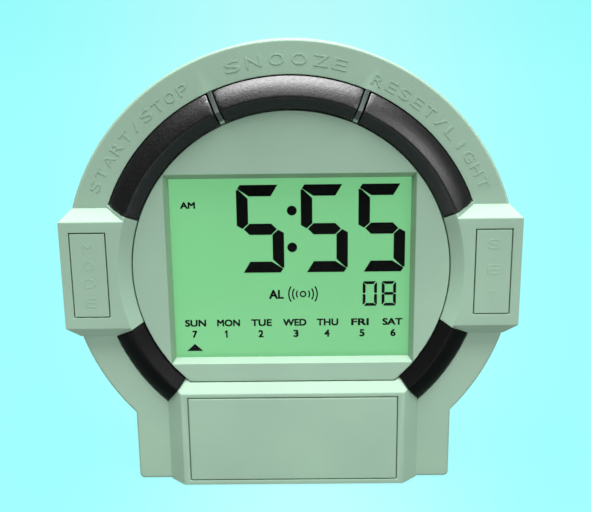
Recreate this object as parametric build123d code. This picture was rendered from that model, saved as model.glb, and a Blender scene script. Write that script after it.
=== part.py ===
from build123d import *
import math
import os

# A desk alarm clock with a calendar display. Everything is modelled in the frame of its face:
# X to the right, Y up along the face, Z out of the face, origin at the centre of the ring on
# the ring's front plane. The finished pieces are then leaned back and stood on their feet.

# Stance
lean = 5.0
ring_stand = 1.2
pad_stand = 0.5

# Case outline
rim_radius = 57.0
rim_round = 0.7
foot_shoulder = 8.6
foot_corner = 1.2
front_wall = 2.2
side_wall = 2.2
split_depth = 15.0

# Side ears
ear_overhang = 0.65
ear_top = 13.4
ear_bottom = 14.4
ear_bevel = 3.0
ear_wall = 1.5
ear_hollow_margin = 1.4
raised_rise = 3.1
raised_wall = 2.0

# Base block and its panel
base_rise = 3.3
base_foot_margin = 2.45
base_side_slope = 3.85
base_top_overlap = 0.55
base_top_slope = 3.1
base_overrun = 10.0
panel_side_frame = 1.7
panel_top_frame = 1.1
panel_bottom_frame = 1.0
panel_thickness = 1.2
panel_backing = 1.5
panel_gap = 0.2

# Dial plate and display opening
dial_rise = 0.8
dial_chord_margin = 4.85
dial_gap = 0.25
disc_thickness = 2.0
boss_wall = 2.0
boss_gap = 0.4
opening_corner_reach = 0.07
opening_top = 24.6
opening_bottom = 25.1
side_bevel = 1.1
top_bevel = 1.4
bottom_bevel = 1.3
pocket_margin = 1.4
flange_depth = 6.0
flange_thickness = 1.5
flange_reach = 1.58
flange_drop = 5.55

# Channel that holds the curved buttons and trims
ring_width = 8.38
outer_slope_width = 5.22
inner_bevel_width = 3.35
button_gap = 0.3
button_bottom = 4.0
button_step = 1.75
shoulder_rise = 0.3
cap_bulge = 0.3
cap_overhang = 0.2
rib_angle = 23.3
rib_width = 1.2
rib_depth = 3.5
rib_drop = 0.5
upper_end_angle = 19.8
upper_end_skew = 8.8
trim_top_angle = 20.3
trim_top_skew = 8.5
trim_bottom_angle = 46.8
trim_bottom_skew = 5.9
lip_reach = 1.4
lip_half_angle = 16.0
trim_gap = 0.15
trim_lip_half_angle = 9.0
peg_radius = 1.2
peg_spread_angle = 8.0

# Side keys
key_side_frame = 2.45
key_width = 9.2
key_top_frame = 2.7
key_bottom_frame = 3.0
key_lip = 0.5
key_gap = 0.25

# Travel, stems and springs
button_travel = 0.8
press_gap = 0.05
stem_radius = 1.3
stem_hole_gap = 0.2
stem_end_depth = 9.3
stem_spread_angle = 13.0
key_stem_spread = 7.0
ceiling_depth = 0.6
button_wall = 1.1
spring_wire = 0.34
spring_turns = 4.0
spring_gap = 0.25

# Display stack
layer_gap = 0.1
window_thickness = 1.0
lcd_thickness = 2.7
segment_thickness = 0.1
guide_thickness = 2.2
holder_wall = 1.8
holder_plate = 1.2
contact_ledge = 2.8
led_room = 3.0
led_half = 2.5
zebra_depth = 2.0
zebra_end_gap = 2.6
holder_corner = 3.0
stack_clearance = 0.2

# Marks on the display, drawn for a window of this size
drawn_width = 60.4
drawn_height = 47.0
time_digit = (11.9, 22.8, 2.9, 0.3)
time_digit_lefts = (-13.6, 2.65, 17.2)
time_digit_top = 21.4
second_digit = (3.7, 6.6, 0.75, 0.15)
second_digit_lefts = (18.4, 23.3)
second_digit_top = -4.0
colon_x = 0.38
colon_heights = (14.75, 5.2)
colon_radius = 1.25
alarm_x = 3.0
alarm_y = -7.25
alarm_dot = 0.85
alarm_line = 0.35
alarm_step = 1.0
alarm_half_angle = 33.0
pointer_x = -25.5
pointer_y = -22.6
pointer_half = 2.1
pointer_height = 1.95

# Circuit board
board_depth = 11.6
board_thickness = 1.6
board_inset = 0.12
board_end_inset = 1.2
board_ear_gap = 0.5
board_screw_x = 20.0
board_screw_drop = 0.55
flange_trim = 0.5
board_drop = 3.05
switch_side = 5.2
switch_body_height = 1.8
switch_cap_radius = 1.4
switch_cap_height = 0.3
board_boss_radius = 2.2
chip_x = 0.0
chip_y = -6.0
chip_radius = 5.5
chip_height = 1.3
chip_round = 0.8
crystal_x = 14.0
crystal_y = -2.0
crystal_radius = 1.0
crystal_length = 6.0
small_part = (2.0, 1.2, 0.8)
small_part_pitch = 3.0

# Rear case, heel and battery bay
rear_inset = 0.8
rear_depth = 30.0
rear_wall = 2.0
rear_chamfer = 2.2
rear_ear_thickness = 2.0
weld = 0.5
lip_thickness = 1.2
lip_height = 2.2
lip_gap = 0.15
heel_side_gap = 3.1
heel_top_rise = 8.65
heel_slope = 4.5
heel_chamfer = 1.5
cell_radius = 5.25
cell_length = 44.0
cell_spacing = 0.3
cell_gap = 0.3
cell_end_room = 3.9
cell_round = 0.5
cell_to_sole = 11.2
cell_behind = 3.2
nub_radius = 1.9
nub_length = 1.0
bay_wall = 1.5
door_thickness = 1.2
door_ledge = 1.0
door_gap = 0.3
door_cell_gap = 0.35
door_rim = 1.0
groove_count = 4
groove_start = 3.0
groove_pitch = 1.6
groove_half = 7.0
groove_depth = 0.4

# Contacts and leads
plate_thickness = 0.4
plate_half = 4.2
tab_half = 1.5
tab_length = 0.8
battery_spring_radius = 2.6
battery_spring_wire = 0.6
battery_spring_turns = 3.5
lead_radius = 0.5
lead_rise = 4.0
lead_bend = 2.0
battery_pad_xs = (-16.0, -20.0)
battery_pad_inset = 8.0
buzzer_wire_x = 3.0
buzzer_pad_x = 6.0
buzzer_pad_y = 18.0

# Buzzer
buzzer_radius = 12.0
buzzer_thickness = 0.6
buzzer_height = 12.0
buzzer_ring_wall = 1.2
buzzer_ring_height = 3.0
buzzer_seat = 1.6
buzzer_gap = 0.2
buzzer_ledge = 1.2
buzzer_core = 0.7
slot_pitch = 3.2
slot_width = 1.2
slot_half = 5.0

# Screws and bosses
post_radius = 2.1
post_wall_gap = 0.4
foot_post_radius = 3.0
foot_post_inset = 7.35
foot_post_rise = 10.2
screw_shank = 1.25
screw_head = 2.4
screw_head_height = 1.6
screw_gap = 0.1
recess_radius = 2.6
recess_length = 10.0
column_radius = 3.2
tab_angle = 43.0
tab_wall_gap = 0.2
tab_radius = 2.4
tab_post_radius = 2.1
lower_tab_angle = 57.0
screw_end_gap = 0.5
case_screw_gap = 3.0
screw_skin = 1.0
small_shank = 0.9
small_head = 1.7
small_head_height = 1.0
cross_length = 1.2
cross_width = 0.25
cross_depth = 0.45

# Rubber feet
pad_radius = 4.0
pad_sink = 0.9
pad_gap = 0.15
front_pad_inset = 7.55
front_pad_forward = -1.0
rear_pad_inset = 6.5
rear_pad_back = 11.0

# How far cutting shapes run past the case, in radii, and how near two lengths count as equal
slot_run_out = 1.3
foot_run_out = 1.4
heel_run_out = 1.2
long_edge = 0.9
near = 0.1

# Values that follow from those above
ring_to_sole = rim_radius + ring_stand
centre_height = ring_to_sole * math.cos(math.radians(lean)) + pad_stand
channel_radius = rim_radius - ring_width
crest_radius = channel_radius - outer_slope_width
dial_radius = crest_radius - inner_bevel_width
button_inner_step = dial_radius + button_step
ear_reach = rim_radius + ear_overhang
key_right = ear_reach - key_side_frame
key_left = key_right - key_width
key_top = ear_top - key_top_frame
key_bottom = ear_bottom - key_bottom_frame
opening_width = 2 * math.sqrt((dial_radius + opening_corner_reach) ** 2
                              - max(opening_top, opening_bottom) ** 2)
window_width = opening_width - 2 * side_bevel
window_top = opening_top - top_bevel
window_bottom = opening_bottom - bottom_bevel
mark_scale_x = window_width / drawn_width
mark_scale_y = (window_top + window_bottom) / drawn_height
dial_chord = opening_bottom + dial_chord_margin
bay_half_width = cell_length / 2 + cell_end_room
heel_half_width = bay_half_width + bay_wall + heel_side_gap
base_foot_half = heel_half_width + base_foot_margin
foot_half_width = base_foot_half + foot_shoulder
base_face_half = base_foot_half - base_side_slope
base_top_low = dial_chord - base_top_overlap
base_top_high = base_top_low + base_top_slope
panel_half_width = base_face_half - panel_side_frame
panel_top = base_top_high + panel_top_frame
panel_bottom = ring_to_sole - panel_bottom_frame
window_low = dial_rise - disc_thickness
boss_radius = button_inner_step - boss_gap
flange_radius = channel_radius + flange_reach
flange_chord = dial_chord + flange_drop
board_radius = channel_radius - board_inset
board_reach = key_right - board_end_inset
board_ear_half = min(ear_top, ear_bottom) - ear_hollow_margin - board_ear_gap
board_chord = dial_chord + board_drop
board_screw_y = dial_chord + board_screw_drop
pocket_width = window_width + 2 * pocket_margin
pocket_top = window_top + pocket_margin
pocket_bottom = window_bottom + pocket_margin
pane_low = window_low - window_thickness
lcd_front = pane_low - layer_gap - segment_thickness
lcd_back = lcd_front - lcd_thickness
guide_front = lcd_back - layer_gap
guide_back = guide_front - guide_thickness
flange_back = -flange_depth - flange_thickness
board_front = -board_depth
board_back = -board_depth - board_thickness
middle_radius = (dial_radius + channel_radius) / 2
switch_top = board_front + switch_body_height + switch_cap_height
plunger_tip = switch_top + button_travel + press_gap
spring_length = flange_depth - ceiling_depth - button_travel - press_gap
spring_mean_radius = stem_radius + spring_gap + spring_wire / 2
outer_button_radius = channel_radius - button_gap
inner_button_radius = dial_radius + button_gap
stem_ring_radius = (button_inner_step + outer_button_radius) / 2
key_middle_x = (key_left + key_right) / 2
key_middle_y = (key_top - key_bottom) / 2
zebra_length = pocket_width - 2 * zebra_end_gap
lower_cell = ring_to_sole - cell_to_sole
cell_pitch = 2 * cell_radius + cell_spacing
upper_cell = lower_cell - cell_pitch
cell_depth = rear_depth + cell_behind
bay_top = upper_cell - cell_radius - cell_gap
bay_bottom = lower_cell + cell_radius + cell_gap
bay_front = cell_depth - cell_radius - cell_gap
heel_depth = cell_depth + cell_radius + door_cell_gap + door_thickness
heel_top = bay_top - heel_top_rise
battery_pad_y = board_chord - battery_pad_inset
post_ring_radius = rim_radius - side_wall - column_radius - post_wall_gap
tab_ring_radius = rim_radius - side_wall - tab_radius - tab_wall_gap
foot_post_x = foot_half_width - foot_post_inset
foot_post_y = foot_post_rise - ring_to_sole
front_pad_x = foot_half_width - front_pad_inset
rear_pad_x = heel_half_width - rear_pad_inset
rear_pad_forward = rear_pad_back - heel_depth
recess_depth = rear_depth - recess_length


def polar(radius, angle):
    """Point of the face at a radius and an angle from +X."""
    return (radius * math.cos(math.radians(angle)), radius * math.sin(math.radians(angle)))


def prism(sketch, low, high):
    """Solid of a face-plane sketch between two heights."""
    return Pos(0, 0, low) * extrude(sketch, high - low)


def slab(left, right, bottom, top, low, high):
    """Box given by its six limits."""
    middle = Pos((left + right) / 2, (bottom + top) / 2, (low + high) / 2)
    return middle * Box(right - left, top - bottom, high - low)


def rod(x, y, radius, low, high):
    """Round bar along the face normal."""
    return Pos(x, y, low) * extrude(Circle(radius), high - low)


def turned(points):
    """Ring turned about the face normal from a profile of (radius, height) points."""
    profile = make_face(Polyline(*[(r, 0, z) for r, z in points], close=True))
    return revolve(profile, Axis.Z)


def both_sides(piece):
    """The piece and its mirror image on the other side of the clock."""
    return [piece, mirror(piece, Plane.YZ)]


def on_floor(x, height, forward):
    """Place measured from the table: height above it and distance forward along it."""
    return Rot(lean, 0, 0) * Pos(x, height - centre_height, forward)


def under(height):
    """Everything lower than a height above the table."""
    size = 6 * rim_radius
    return on_floor(0, height - size / 2, 0) * Box(size, size, size)


def above_chord(radius, chord):
    """Disc with its lower part cut off straight."""
    return Circle(radius) - Pos(0, -chord - radius) * Rectangle(2 * radius, 2 * radius)


def end_line(angle, skew, setback):
    """Two points, inside and outside the channel, of the line where a slot ends."""
    reach = channel_radius - dial_radius
    middle = Vector(*polar(middle_radius, angle)) + Vector(*polar(setback, angle + skew + 90))
    step = Vector(*polar(reach, angle + skew))
    return middle - step, middle + step


def sector(first, last):
    """Wedge of the face from one slot end to the next, each an angle, a skew and a setback."""
    near_inside, near_outside = end_line(*first)
    far_inside, far_outside = end_line(*last)
    beyond = Vector(*polar(slot_run_out * channel_radius, (first[0] + last[0]) / 2))
    corners = [near_inside, near_outside, beyond, far_outside, far_inside]
    return make_face(Polyline(*[(c.X, c.Y) for c in corners], close=True))


def side_slot(setback):
    """Wedge of the right-hand upper slot, drawn in by a setback at each end."""
    return sector((upper_end_angle, upper_end_skew, setback),
                  (90 - rib_angle, 0, -rib_width / 2 - setback))


def top_slot(setback):
    """Wedge of the top slot."""
    return sector((90 - rib_angle, 0, rib_width / 2 + setback),
                  (90 + rib_angle, 0, -rib_width / 2 - setback))


def trim_slot(setback):
    """Wedge of the right-hand lower slot."""
    return sector((-trim_bottom_angle, -trim_bottom_skew, setback),
                  (-trim_top_angle, -trim_top_skew, -setback))


def case_outline(inset):
    """Round case with its foot, drawn in by a wall."""
    foot = Pos(0, -rim_radius) * Rectangle(2 * (foot_half_width - inset), foot_run_out * rim_radius)
    return Circle(rim_radius - inset) + foot


def ear_outline():
    """Right-hand ear in the plane of the ring."""
    return make_face(Polyline(
        (dial_radius, ear_top + ear_bevel),
        (ear_reach - ear_bevel, ear_top + ear_bevel),
        (ear_reach, ear_top),
        (ear_reach, -ear_bottom),
        (ear_reach - ear_bevel, -ear_bottom - ear_bevel),
        (dial_radius, -ear_bottom - ear_bevel),
        close=True))


def ear_block():
    """Raised front of the right-hand ear, bevelled above and below."""
    profile = Plane.YZ * make_face(Polyline(
        (ear_top + ear_bevel, -front_wall),
        (ear_top + ear_bevel, 0),
        (ear_top, raised_rise),
        (-ear_bottom, raised_rise),
        (-ear_bottom - ear_bevel, 0),
        (-ear_bottom - ear_bevel, -front_wall),
        close=True))
    return extrude(profile, ear_reach) & prism(ear_outline(), -front_wall, raised_rise)


def base_block(inset, rise):
    """Raised base block, or the hollow behind it when drawn in by a wall."""
    def edge(half_width, top, height):
        depth = ring_to_sole + base_overrun - top
        return Pos(0, -top - depth / 2, height) * Rectangle(2 * half_width, depth)
    low = edge(base_foot_half - inset, base_top_low + inset, 0)
    high = edge(base_face_half - inset, base_top_high + inset, rise)
    return loft([low, high])


def base_wedge():
    """Wedge of the face from one lower slot round to the other, over the base block."""
    return sector((trim_bottom_angle - 180, trim_bottom_skew, 0),
                  (-trim_bottom_angle, -trim_bottom_skew, 0))


def crest_ring():
    """Ring with the profile of the buttons: what is left of it between the slots are ribs."""
    inside = dial_radius - weld
    ring = turned([(inside, -rib_depth), (inside, raised_rise),
                   (crest_radius, raised_rise), (channel_radius, 0),
                   (channel_radius, -rib_depth)])
    return ring - prism(base_wedge(), 0, 2 * raised_rise)


def rib_relief():
    """What the right-hand rib between two buttons lacks in height, most at its crest."""
    rib = sector((90 - rib_angle, 0, -rib_width / 2 - weld),
                 (90 - rib_angle, 0, rib_width / 2 + weld))
    above = turned([(dial_radius, dial_rise), (crest_radius, raised_rise - rib_drop),
                    (channel_radius, 0), (channel_radius, 2 * raised_rise),
                    (dial_radius, 2 * raised_rise)])
    return above & prism(rib, 0, 2 * raised_rise)


def dial_cutter():
    """Room for the dial plate: its boss, its disc and the bevel round it up to the crest."""
    hole = dial_radius + button_gap
    seat = boss_radius + button_gap
    space = turned([(0, -split_depth), (seat, -split_depth), (seat, window_low + button_gap),
                    (hole, window_low + button_gap), (hole, dial_rise),
                    (crest_radius, raised_rise), (crest_radius, 2 * raised_rise),
                    (0, 2 * raised_rise)])
    return space - slab(-rim_radius, rim_radius, -rim_radius, -dial_chord - dial_gap,
                        -split_depth, 2 * raised_rise)


def post_places():
    """Centres of the four case screws in the face plane."""
    top = [polar(post_ring_radius, 90 + side * rib_angle) for side in (-1, 1)]
    return top + [(side * foot_post_x, foot_post_y) for side in (-1, 1)]


def tab_places():
    """Centres of the four screws that hold the dial plate."""
    upper = [polar(tab_ring_radius, 90 + side * tab_angle) for side in (-1, 1)]
    return upper + [polar(tab_ring_radius, -90 + side * lower_tab_angle) for side in (-1, 1)]


def board_screw_places():
    """Centres of the four screws that hold the circuit board."""
    upper = [polar(stem_ring_radius, 90 + side * rib_angle) for side in (-1, 1)]
    return upper + [(side * board_screw_x, -board_screw_y) for side in (-1, 1)]


def slot_middles():
    """Angle at the middle of each upper slot: right, top and left."""
    side = (upper_end_angle + 90 - rib_angle) / 2
    return [side, 90.0, 180.0 - side]


def guide_places(middle):
    """Centres of the two guide stems of a curved button."""
    return [polar(stem_ring_radius, middle + s * stem_spread_angle) for s in (-1, 1)]


def key_guide_places():
    """Centres of the two guide stems of the right-hand key."""
    return [(key_middle_x, key_middle_y + s * key_stem_spread) for s in (-1, 1)]


def peg_places():
    """Centres of the two pegs of the right-hand lower trim."""
    middle = -(trim_top_angle + trim_bottom_angle) / 2
    return [polar(stem_ring_radius, middle + s * peg_spread_angle) for s in (-1, 1)]


def front_shell():
    """Front wall and side walls of the case with its ears, closed in front of the channel."""
    shell = prism(case_outline(0), -split_depth, 0)
    for ear in both_sides(prism(ear_outline(), -split_depth, 0)):
        shell += ear
    shell -= under(pad_stand)
    corners = [e for e in shell.edges() if e.length > long_edge * split_depth
               and e.center().Y < -long_edge * ring_to_sole
               and abs(abs(e.center().X) - foot_half_width) < near]
    shell = fillet(corners, foot_corner)
    rim = [e for e in shell.edges() if abs(e.center().Z) < near
           and (e.geom_type == GeomType.CIRCLE and e.radius > long_edge * rim_radius
                or abs(abs(e.center().X) - foot_half_width) < near)]
    shell = fillet(rim, rim_round)
    hollow = prism(case_outline(side_wall), -split_depth, -front_wall)
    hollow -= under(pad_stand + side_wall)
    return shell - hollow


def front_case():
    """Front shell: ring, ears, foot and base block, with the slots for the moving pieces."""
    shell = front_shell() + crest_ring()
    ear_hollow = slab(key_left - ear_hollow_margin, ear_reach - ear_wall,
                      -ear_bottom + ear_hollow_margin, ear_top - ear_hollow_margin,
                      -split_depth, raised_rise - raised_wall)
    for ear in both_sides(ear_block()):
        shell += ear
    shell += base_block(0, base_rise) - under(pad_stand)
    shell -= base_block(side_wall, base_rise - panel_thickness - panel_backing)
    shell -= dial_cutter()
    for relief in both_sides(rib_relief()):
        shell -= relief
    for cut in both_sides(ear_hollow) + both_sides(key_block(0, -front_wall, raised_rise)):
        shell -= cut
    shell -= panel_block(0)
    channel = Circle(channel_radius) - Circle(dial_radius - weld)
    for slot in [top_slot(0)] + both_sides(side_slot(0)) + both_sides(trim_slot(0)):
        shell -= prism(slot & channel, -split_depth, 2 * raised_rise)
    for x, y in post_places():
        radius = post_radius if y > 0 else foot_post_radius
        shell += rod(x, y, radius, -split_depth, -front_wall)
        shell -= rod(x, y, screw_shank + screw_gap, -split_depth, -front_wall - screw_skin)
    for x, y in tab_places():
        shell += rod(x, y, tab_post_radius, -flange_depth, -front_wall)
        shell -= rod(x, y, small_shank + screw_gap, -flange_depth, -front_wall)
    for x in (-front_pad_x, front_pad_x):
        shell -= foot_pad(x, front_pad_forward, pad_gap)
    return shell


def foot_pad(x, forward, gap):
    """Rubber foot, or its seat in the case when a gap is added."""
    disc = extrude(Circle(pad_radius + gap), pad_stand + pad_sink)
    return on_floor(x, 0, forward) * Rot(-90, 0, 0) * disc


def key_block(gap, low, high):
    """Box of the right-hand key, drawn in by a gap."""
    return slab(key_left + gap, key_right - gap, -key_bottom + gap, key_top - gap, low, high)


def panel_block(gap):
    """Inset panel of the base block, drawn in by a gap."""
    return slab(-panel_half_width + gap, panel_half_width - gap, -panel_bottom + gap,
                -panel_top - gap, base_rise - panel_thickness, base_rise)


def pocket(gap, low, high):
    """Rectangular space behind the display opening, drawn in by a gap."""
    return slab(-pocket_width / 2 + gap, pocket_width / 2 - gap, -pocket_bottom + gap,
                pocket_top - gap, low, high)


def window_bevel():
    """Sloping opening of the dial plate, wide at the front and narrow at the window."""
    def rectangle(width, top, bottom, height):
        return Pos(0, (top - bottom) / 2, height) * Rectangle(width, top + bottom)
    return loft([rectangle(window_width, window_top, window_bottom, window_low),
                 rectangle(opening_width, opening_top, opening_bottom, dial_rise)])


def dial_plate():
    """Round plate with the display opening, and behind it the flange that carries the works."""
    plate = prism(above_chord(dial_radius, dial_chord), window_low, dial_rise)
    plate += prism(above_chord(boss_radius, dial_chord), flange_back, window_low)
    flange = above_chord(flange_radius, flange_chord)
    flange += Rectangle(2 * (board_reach - flange_trim), 2 * board_ear_half)
    for x, y in tab_places():
        flange += Pos(x, y) * Circle(tab_radius)
    for x, y in post_places()[:2]:
        flange -= Pos(x, y) * Circle(post_radius + button_gap)
    plate += prism(flange, flange_back, -flange_depth)
    pocket_wall = slab(-pocket_width / 2 - holder_wall, pocket_width / 2 + holder_wall,
                       -rim_radius, pocket_top + holder_wall, flange_back, window_low)
    plate -= prism(above_chord(boss_radius - boss_wall, dial_chord), flange_back,
                   window_low) - pocket_wall
    plate -= pocket(0, flange_back, window_low)
    plate -= window_bevel()
    for x, y in board_screw_places():
        plate += rod(x, y, board_boss_radius, board_front, -flange_depth)
        plate -= rod(x, y, small_shank + screw_gap, board_front, flange_back)
    for x, y in tab_places():
        plate -= rod(x, y, small_shank + screw_gap, flange_back, -flange_depth)
    stems = [place for middle in slot_middles() for place in guide_places(middle)]
    stems += [polar(stem_ring_radius, middle) for middle in slot_middles()]
    keys = key_guide_places() + [(key_middle_x, key_middle_y)]
    stems += keys + [(-x, y) for x, y in keys]
    for x, y in stems:
        plate -= rod(x, y, stem_radius + stem_hole_gap, flange_back, -flange_depth)
    for x, y in peg_places() + [(-x, y) for x, y in peg_places()]:
        plate -= rod(x, y, peg_radius + screw_gap, flange_back, -flange_depth)
    return plate


def cap_profile(bottom):
    """Section of a curved button: a bevel up from the dial to the crest and a slope outwards."""
    crest = (crest_radius, 0, raised_rise)
    shoulder = (outer_button_radius, 0, shoulder_rise)
    bulge = ((crest[0] + shoulder[0]) / 2 + cap_bulge / 2, 0,
             (crest[2] + shoulder[2]) / 2 + cap_bulge)
    sides = Polyline(shoulder, (outer_button_radius, 0, -bottom), (button_inner_step, 0, -bottom),
                     (button_inner_step, 0, -cap_overhang), (inner_button_radius, 0, -cap_overhang),
                     (inner_button_radius, 0, dial_rise), crest)
    return make_face([sides.edges(), ThreePointArc(crest, bulge, shoulder).edges()])


def curved_cap(wedge, inner_wedge, middle, lip_half, bottom, lip_top):
    """Hollow cap over one slot with the lip that keeps it behind the ring."""
    cap = revolve(cap_profile(bottom), Axis.Z) & prism(wedge, -bottom, 2 * raised_rise)
    lip = Circle(channel_radius + lip_reach - button_gap) - Circle(channel_radius - 2 * button_gap)
    lip &= sector((middle - lip_half, 0, 0), (middle + lip_half, 0, 0))
    cap += prism(lip, -bottom, lip_top)
    hollow = Circle(outer_button_radius - button_wall) - Circle(button_inner_step + button_wall)
    cap -= prism(hollow & inner_wedge, -bottom, -ceiling_depth)
    return cap


def curved_button(slot, middle):
    """Push button over an upper slot, with its two guide stems and its plunger."""
    button = curved_cap(slot(button_gap), slot(button_gap + button_wall), middle,
                        lip_half_angle, button_bottom, -front_wall - button_gap)
    for x, y in guide_places(middle):
        button += rod(x, y, stem_radius, -stem_end_depth, -ceiling_depth)
    x, y = polar(stem_ring_radius, middle)
    return button + rod(x, y, stem_radius, plunger_tip, -ceiling_depth)


def lower_trim():
    """Fixed right-hand trim: the same cap, held between the ring and the flange by its lip."""
    middle = -(trim_top_angle + trim_bottom_angle) / 2
    trim = curved_cap(trim_slot(trim_gap), trim_slot(trim_gap + button_wall), middle,
                      trim_lip_half_angle, flange_depth, -front_wall)
    for x, y in peg_places():
        trim += rod(x, y, peg_radius, flange_back, -ceiling_depth)
    return trim


def side_key():
    """Right-hand key with its lip, two guide stems and plunger."""
    key = key_block(key_gap, -ceiling_depth, raised_rise)
    key += key_block(-key_lip, -ceiling_depth, raised_rise - raised_wall - key_gap)
    for x, y in key_guide_places():
        key += rod(x, y, stem_radius, -stem_end_depth, -ceiling_depth)
    return key + rod(key_middle_x, key_middle_y, stem_radius, plunger_tip, -ceiling_depth)


def coil(mean_radius, wire, turns, length):
    """Open coil spring along Z, standing on the origin."""
    line = Helix((length - wire) / turns, length - wire, mean_radius)
    section = Plane(line @ 0, z_dir=line % 0) * Circle(wire / 2)
    return Pos(0, 0, wire / 2) * sweep(section, line)


def return_springs():
    """Springs round the guide stems, at the length they have with the button pressed."""
    spring = coil(spring_mean_radius, spring_wire, spring_turns, spring_length)
    places = [place for middle in slot_middles() for place in guide_places(middle)]
    places += key_guide_places() + [(-x, y) for x, y in key_guide_places()]
    return [Pos(x, y, -flange_depth) * spring for x, y in places]


def base_panel():
    """Plain inset panel of the base block."""
    panel = panel_block(panel_gap)
    return chamfer(panel.faces().sort_by(Axis.Z)[-1].edges(), panel_gap)


def lcd_glass():
    """Display cell: a front glass, and a rear glass that is shorter where the rubber strip is."""
    middle = lcd_front - lcd_thickness / 2
    rear = slab(-pocket_width / 2 + stack_clearance, pocket_width / 2 - stack_clearance,
                -pocket_bottom + stack_clearance, pocket_top - contact_ledge, lcd_back, middle)
    return pocket(stack_clearance, middle, lcd_front) + rear


def digit_segments(width, height, bar, gap):
    """The seven bars of a digit, from its lower left corner."""
    waist = height / 2
    half = bar / 2
    corner = bar / 3
    left_upper = [(0, height - corner - gap), (2 * gap, height - corner - gap),
                  (bar, height - bar - 2 * gap), (bar, waist + half), (half, waist + gap / 2),
                  (0, waist + corner)]
    top = [(gap, height - corner), (corner, height), (width - half, height),
           (width - bar - gap, height - bar), (bar + gap, height - bar)]
    middle = [(half + gap, waist), (bar + gap, waist + half), (width - bar - gap, waist + half),
              (width - half - gap, waist), (width - bar - gap, waist - half),
              (bar + gap, waist - half)]
    def turned_over(points):
        return [(width - x, height - y) for x, y in points]
    def flipped(points):
        return [(x, height - y) for x, y in points]
    return {"a": top, "f": left_upper, "g": middle, "d": turned_over(top),
            "c": turned_over(left_upper), "e": flipped(left_upper),
            "b": flipped(turned_over(left_upper))}


def mark_place(x, y):
    """Place on the display of a point of the drawn window."""
    return (mark_scale_x * x, mark_scale_y * y)


def mark_polygon(points, left=0.0, bottom=0.0):
    """Straight-sided mark from its points, which are measured from a lower left corner."""
    corners = [mark_place(left + x, bottom + y) for x, y in points]
    return make_face(Polyline(*corners, close=True))


def mark_disc(radius):
    """Round mark of a radius in the drawn window."""
    return Circle(mark_scale_x * radius)


def display_segments():
    """Dark marks on the display: the time, the seconds, the alarm mark and the day pointer."""
    shapes = []
    def digit(left, top, size, names):
        bars = digit_segments(*size)
        for name in names:
            shapes.append(mark_polygon(bars[name], left, top - size[1]))
    for left in time_digit_lefts:
        digit(left, time_digit_top, time_digit, "afgcd")
    digit(second_digit_lefts[0], second_digit_top, second_digit, "abcdef")
    digit(second_digit_lefts[1], second_digit_top, second_digit, "abcdefg")
    for y in colon_heights:
        shapes.append(Pos(*mark_place(colon_x, y)) * mark_disc(colon_radius))
    alarm = Pos(*mark_place(alarm_x, alarm_y))
    shapes.append(alarm * (mark_disc(alarm_dot) - mark_disc(alarm_dot - alarm_line)))
    for step in (1, 2, 3):
        radius = alarm_dot + step * alarm_step
        arc = mark_disc(radius) - mark_disc(radius - alarm_line)
        fan = make_face(Polyline((0, 0), polar(3 * radius, alarm_half_angle),
                                 polar(3 * radius, -alarm_half_angle), close=True))
        for piece in both_sides(arc & fan):
            shapes.append(alarm * piece)
    shapes.append(mark_polygon([(-pointer_half, 0), (pointer_half, 0), (0, pointer_height)],
                               pointer_x, pointer_y))
    return [prism(shape, lcd_front, lcd_front + segment_thickness) for shape in shapes]


def light_guide():
    """Clear slab that spreads the light behind the display."""
    return slab(-pocket_width / 2 + led_room, pocket_width / 2 - stack_clearance,
                -pocket_bottom + stack_clearance, pocket_top - contact_ledge,
                guide_back, guide_front)


def backlight_led():
    """Light source at the left end of the light guide."""
    return slab(-pocket_width / 2 + 2 * stack_clearance, -pocket_width / 2 + led_room
                - stack_clearance, -led_half, led_half, flange_back, guide_front)


def zebra_band(gap, low, high):
    """Rubber strip that joins the display to the board, or its slot when a gap is added."""
    top = pocket_top - 2 * stack_clearance
    return slab(-zebra_length / 2 - gap, zebra_length / 2 + gap, top - zebra_depth - gap,
                top + gap, low, high)


def lcd_holder():
    """White frame between the flange and the board that backs the display."""
    half = pocket_width / 2
    frame = slab(-half - holder_wall, half + holder_wall, -pocket_bottom - holder_wall,
                 pocket_top + holder_wall, board_front, flange_back)
    frame = chamfer(frame.edges().filter_by(Axis.Z), holder_corner)
    frame -= slab(-half, half, -pocket_bottom, pocket_top - contact_ledge - holder_plate,
                  board_front, flange_back - holder_plate)
    return frame - zebra_band(trim_gap, board_front, flange_back)


def circuit_board():
    """Board behind the display, reaching under every button and key."""
    sheet = above_chord(board_radius, board_chord)
    sheet += Rectangle(2 * board_reach, 2 * board_ear_half)
    for x, y in board_screw_places():
        sheet -= Pos(x, y) * Circle(small_shank + screw_gap)
    return prism(sheet, board_back, board_front)


def controller_chip():
    """Moulded drop over the clock chip on the back of the board."""
    drop = rod(chip_x, chip_y, chip_radius, board_back - chip_height, board_back)
    return fillet(drop.faces().sort_by(Axis.Z)[0].edges(), chip_round)


def watch_crystal():
    """Small can of the crystal, lying on the back of the board."""
    can = Rot(-90, 0, 0) * extrude(Circle(crystal_radius), crystal_length)
    return Pos(crystal_x, crystal_y, board_back - crystal_radius) * can


def chip_parts():
    """Small capacitors and resistors on the back of the board."""
    row = [(chip_x + side * (chip_radius + small_part_pitch), chip_y + step * small_part_pitch)
           for side in (-1, 1) for step in (-1, 0, 1)]
    return [Pos(x, y, board_back - small_part[2] / 2) * Box(*small_part) for x, y in row]


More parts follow.
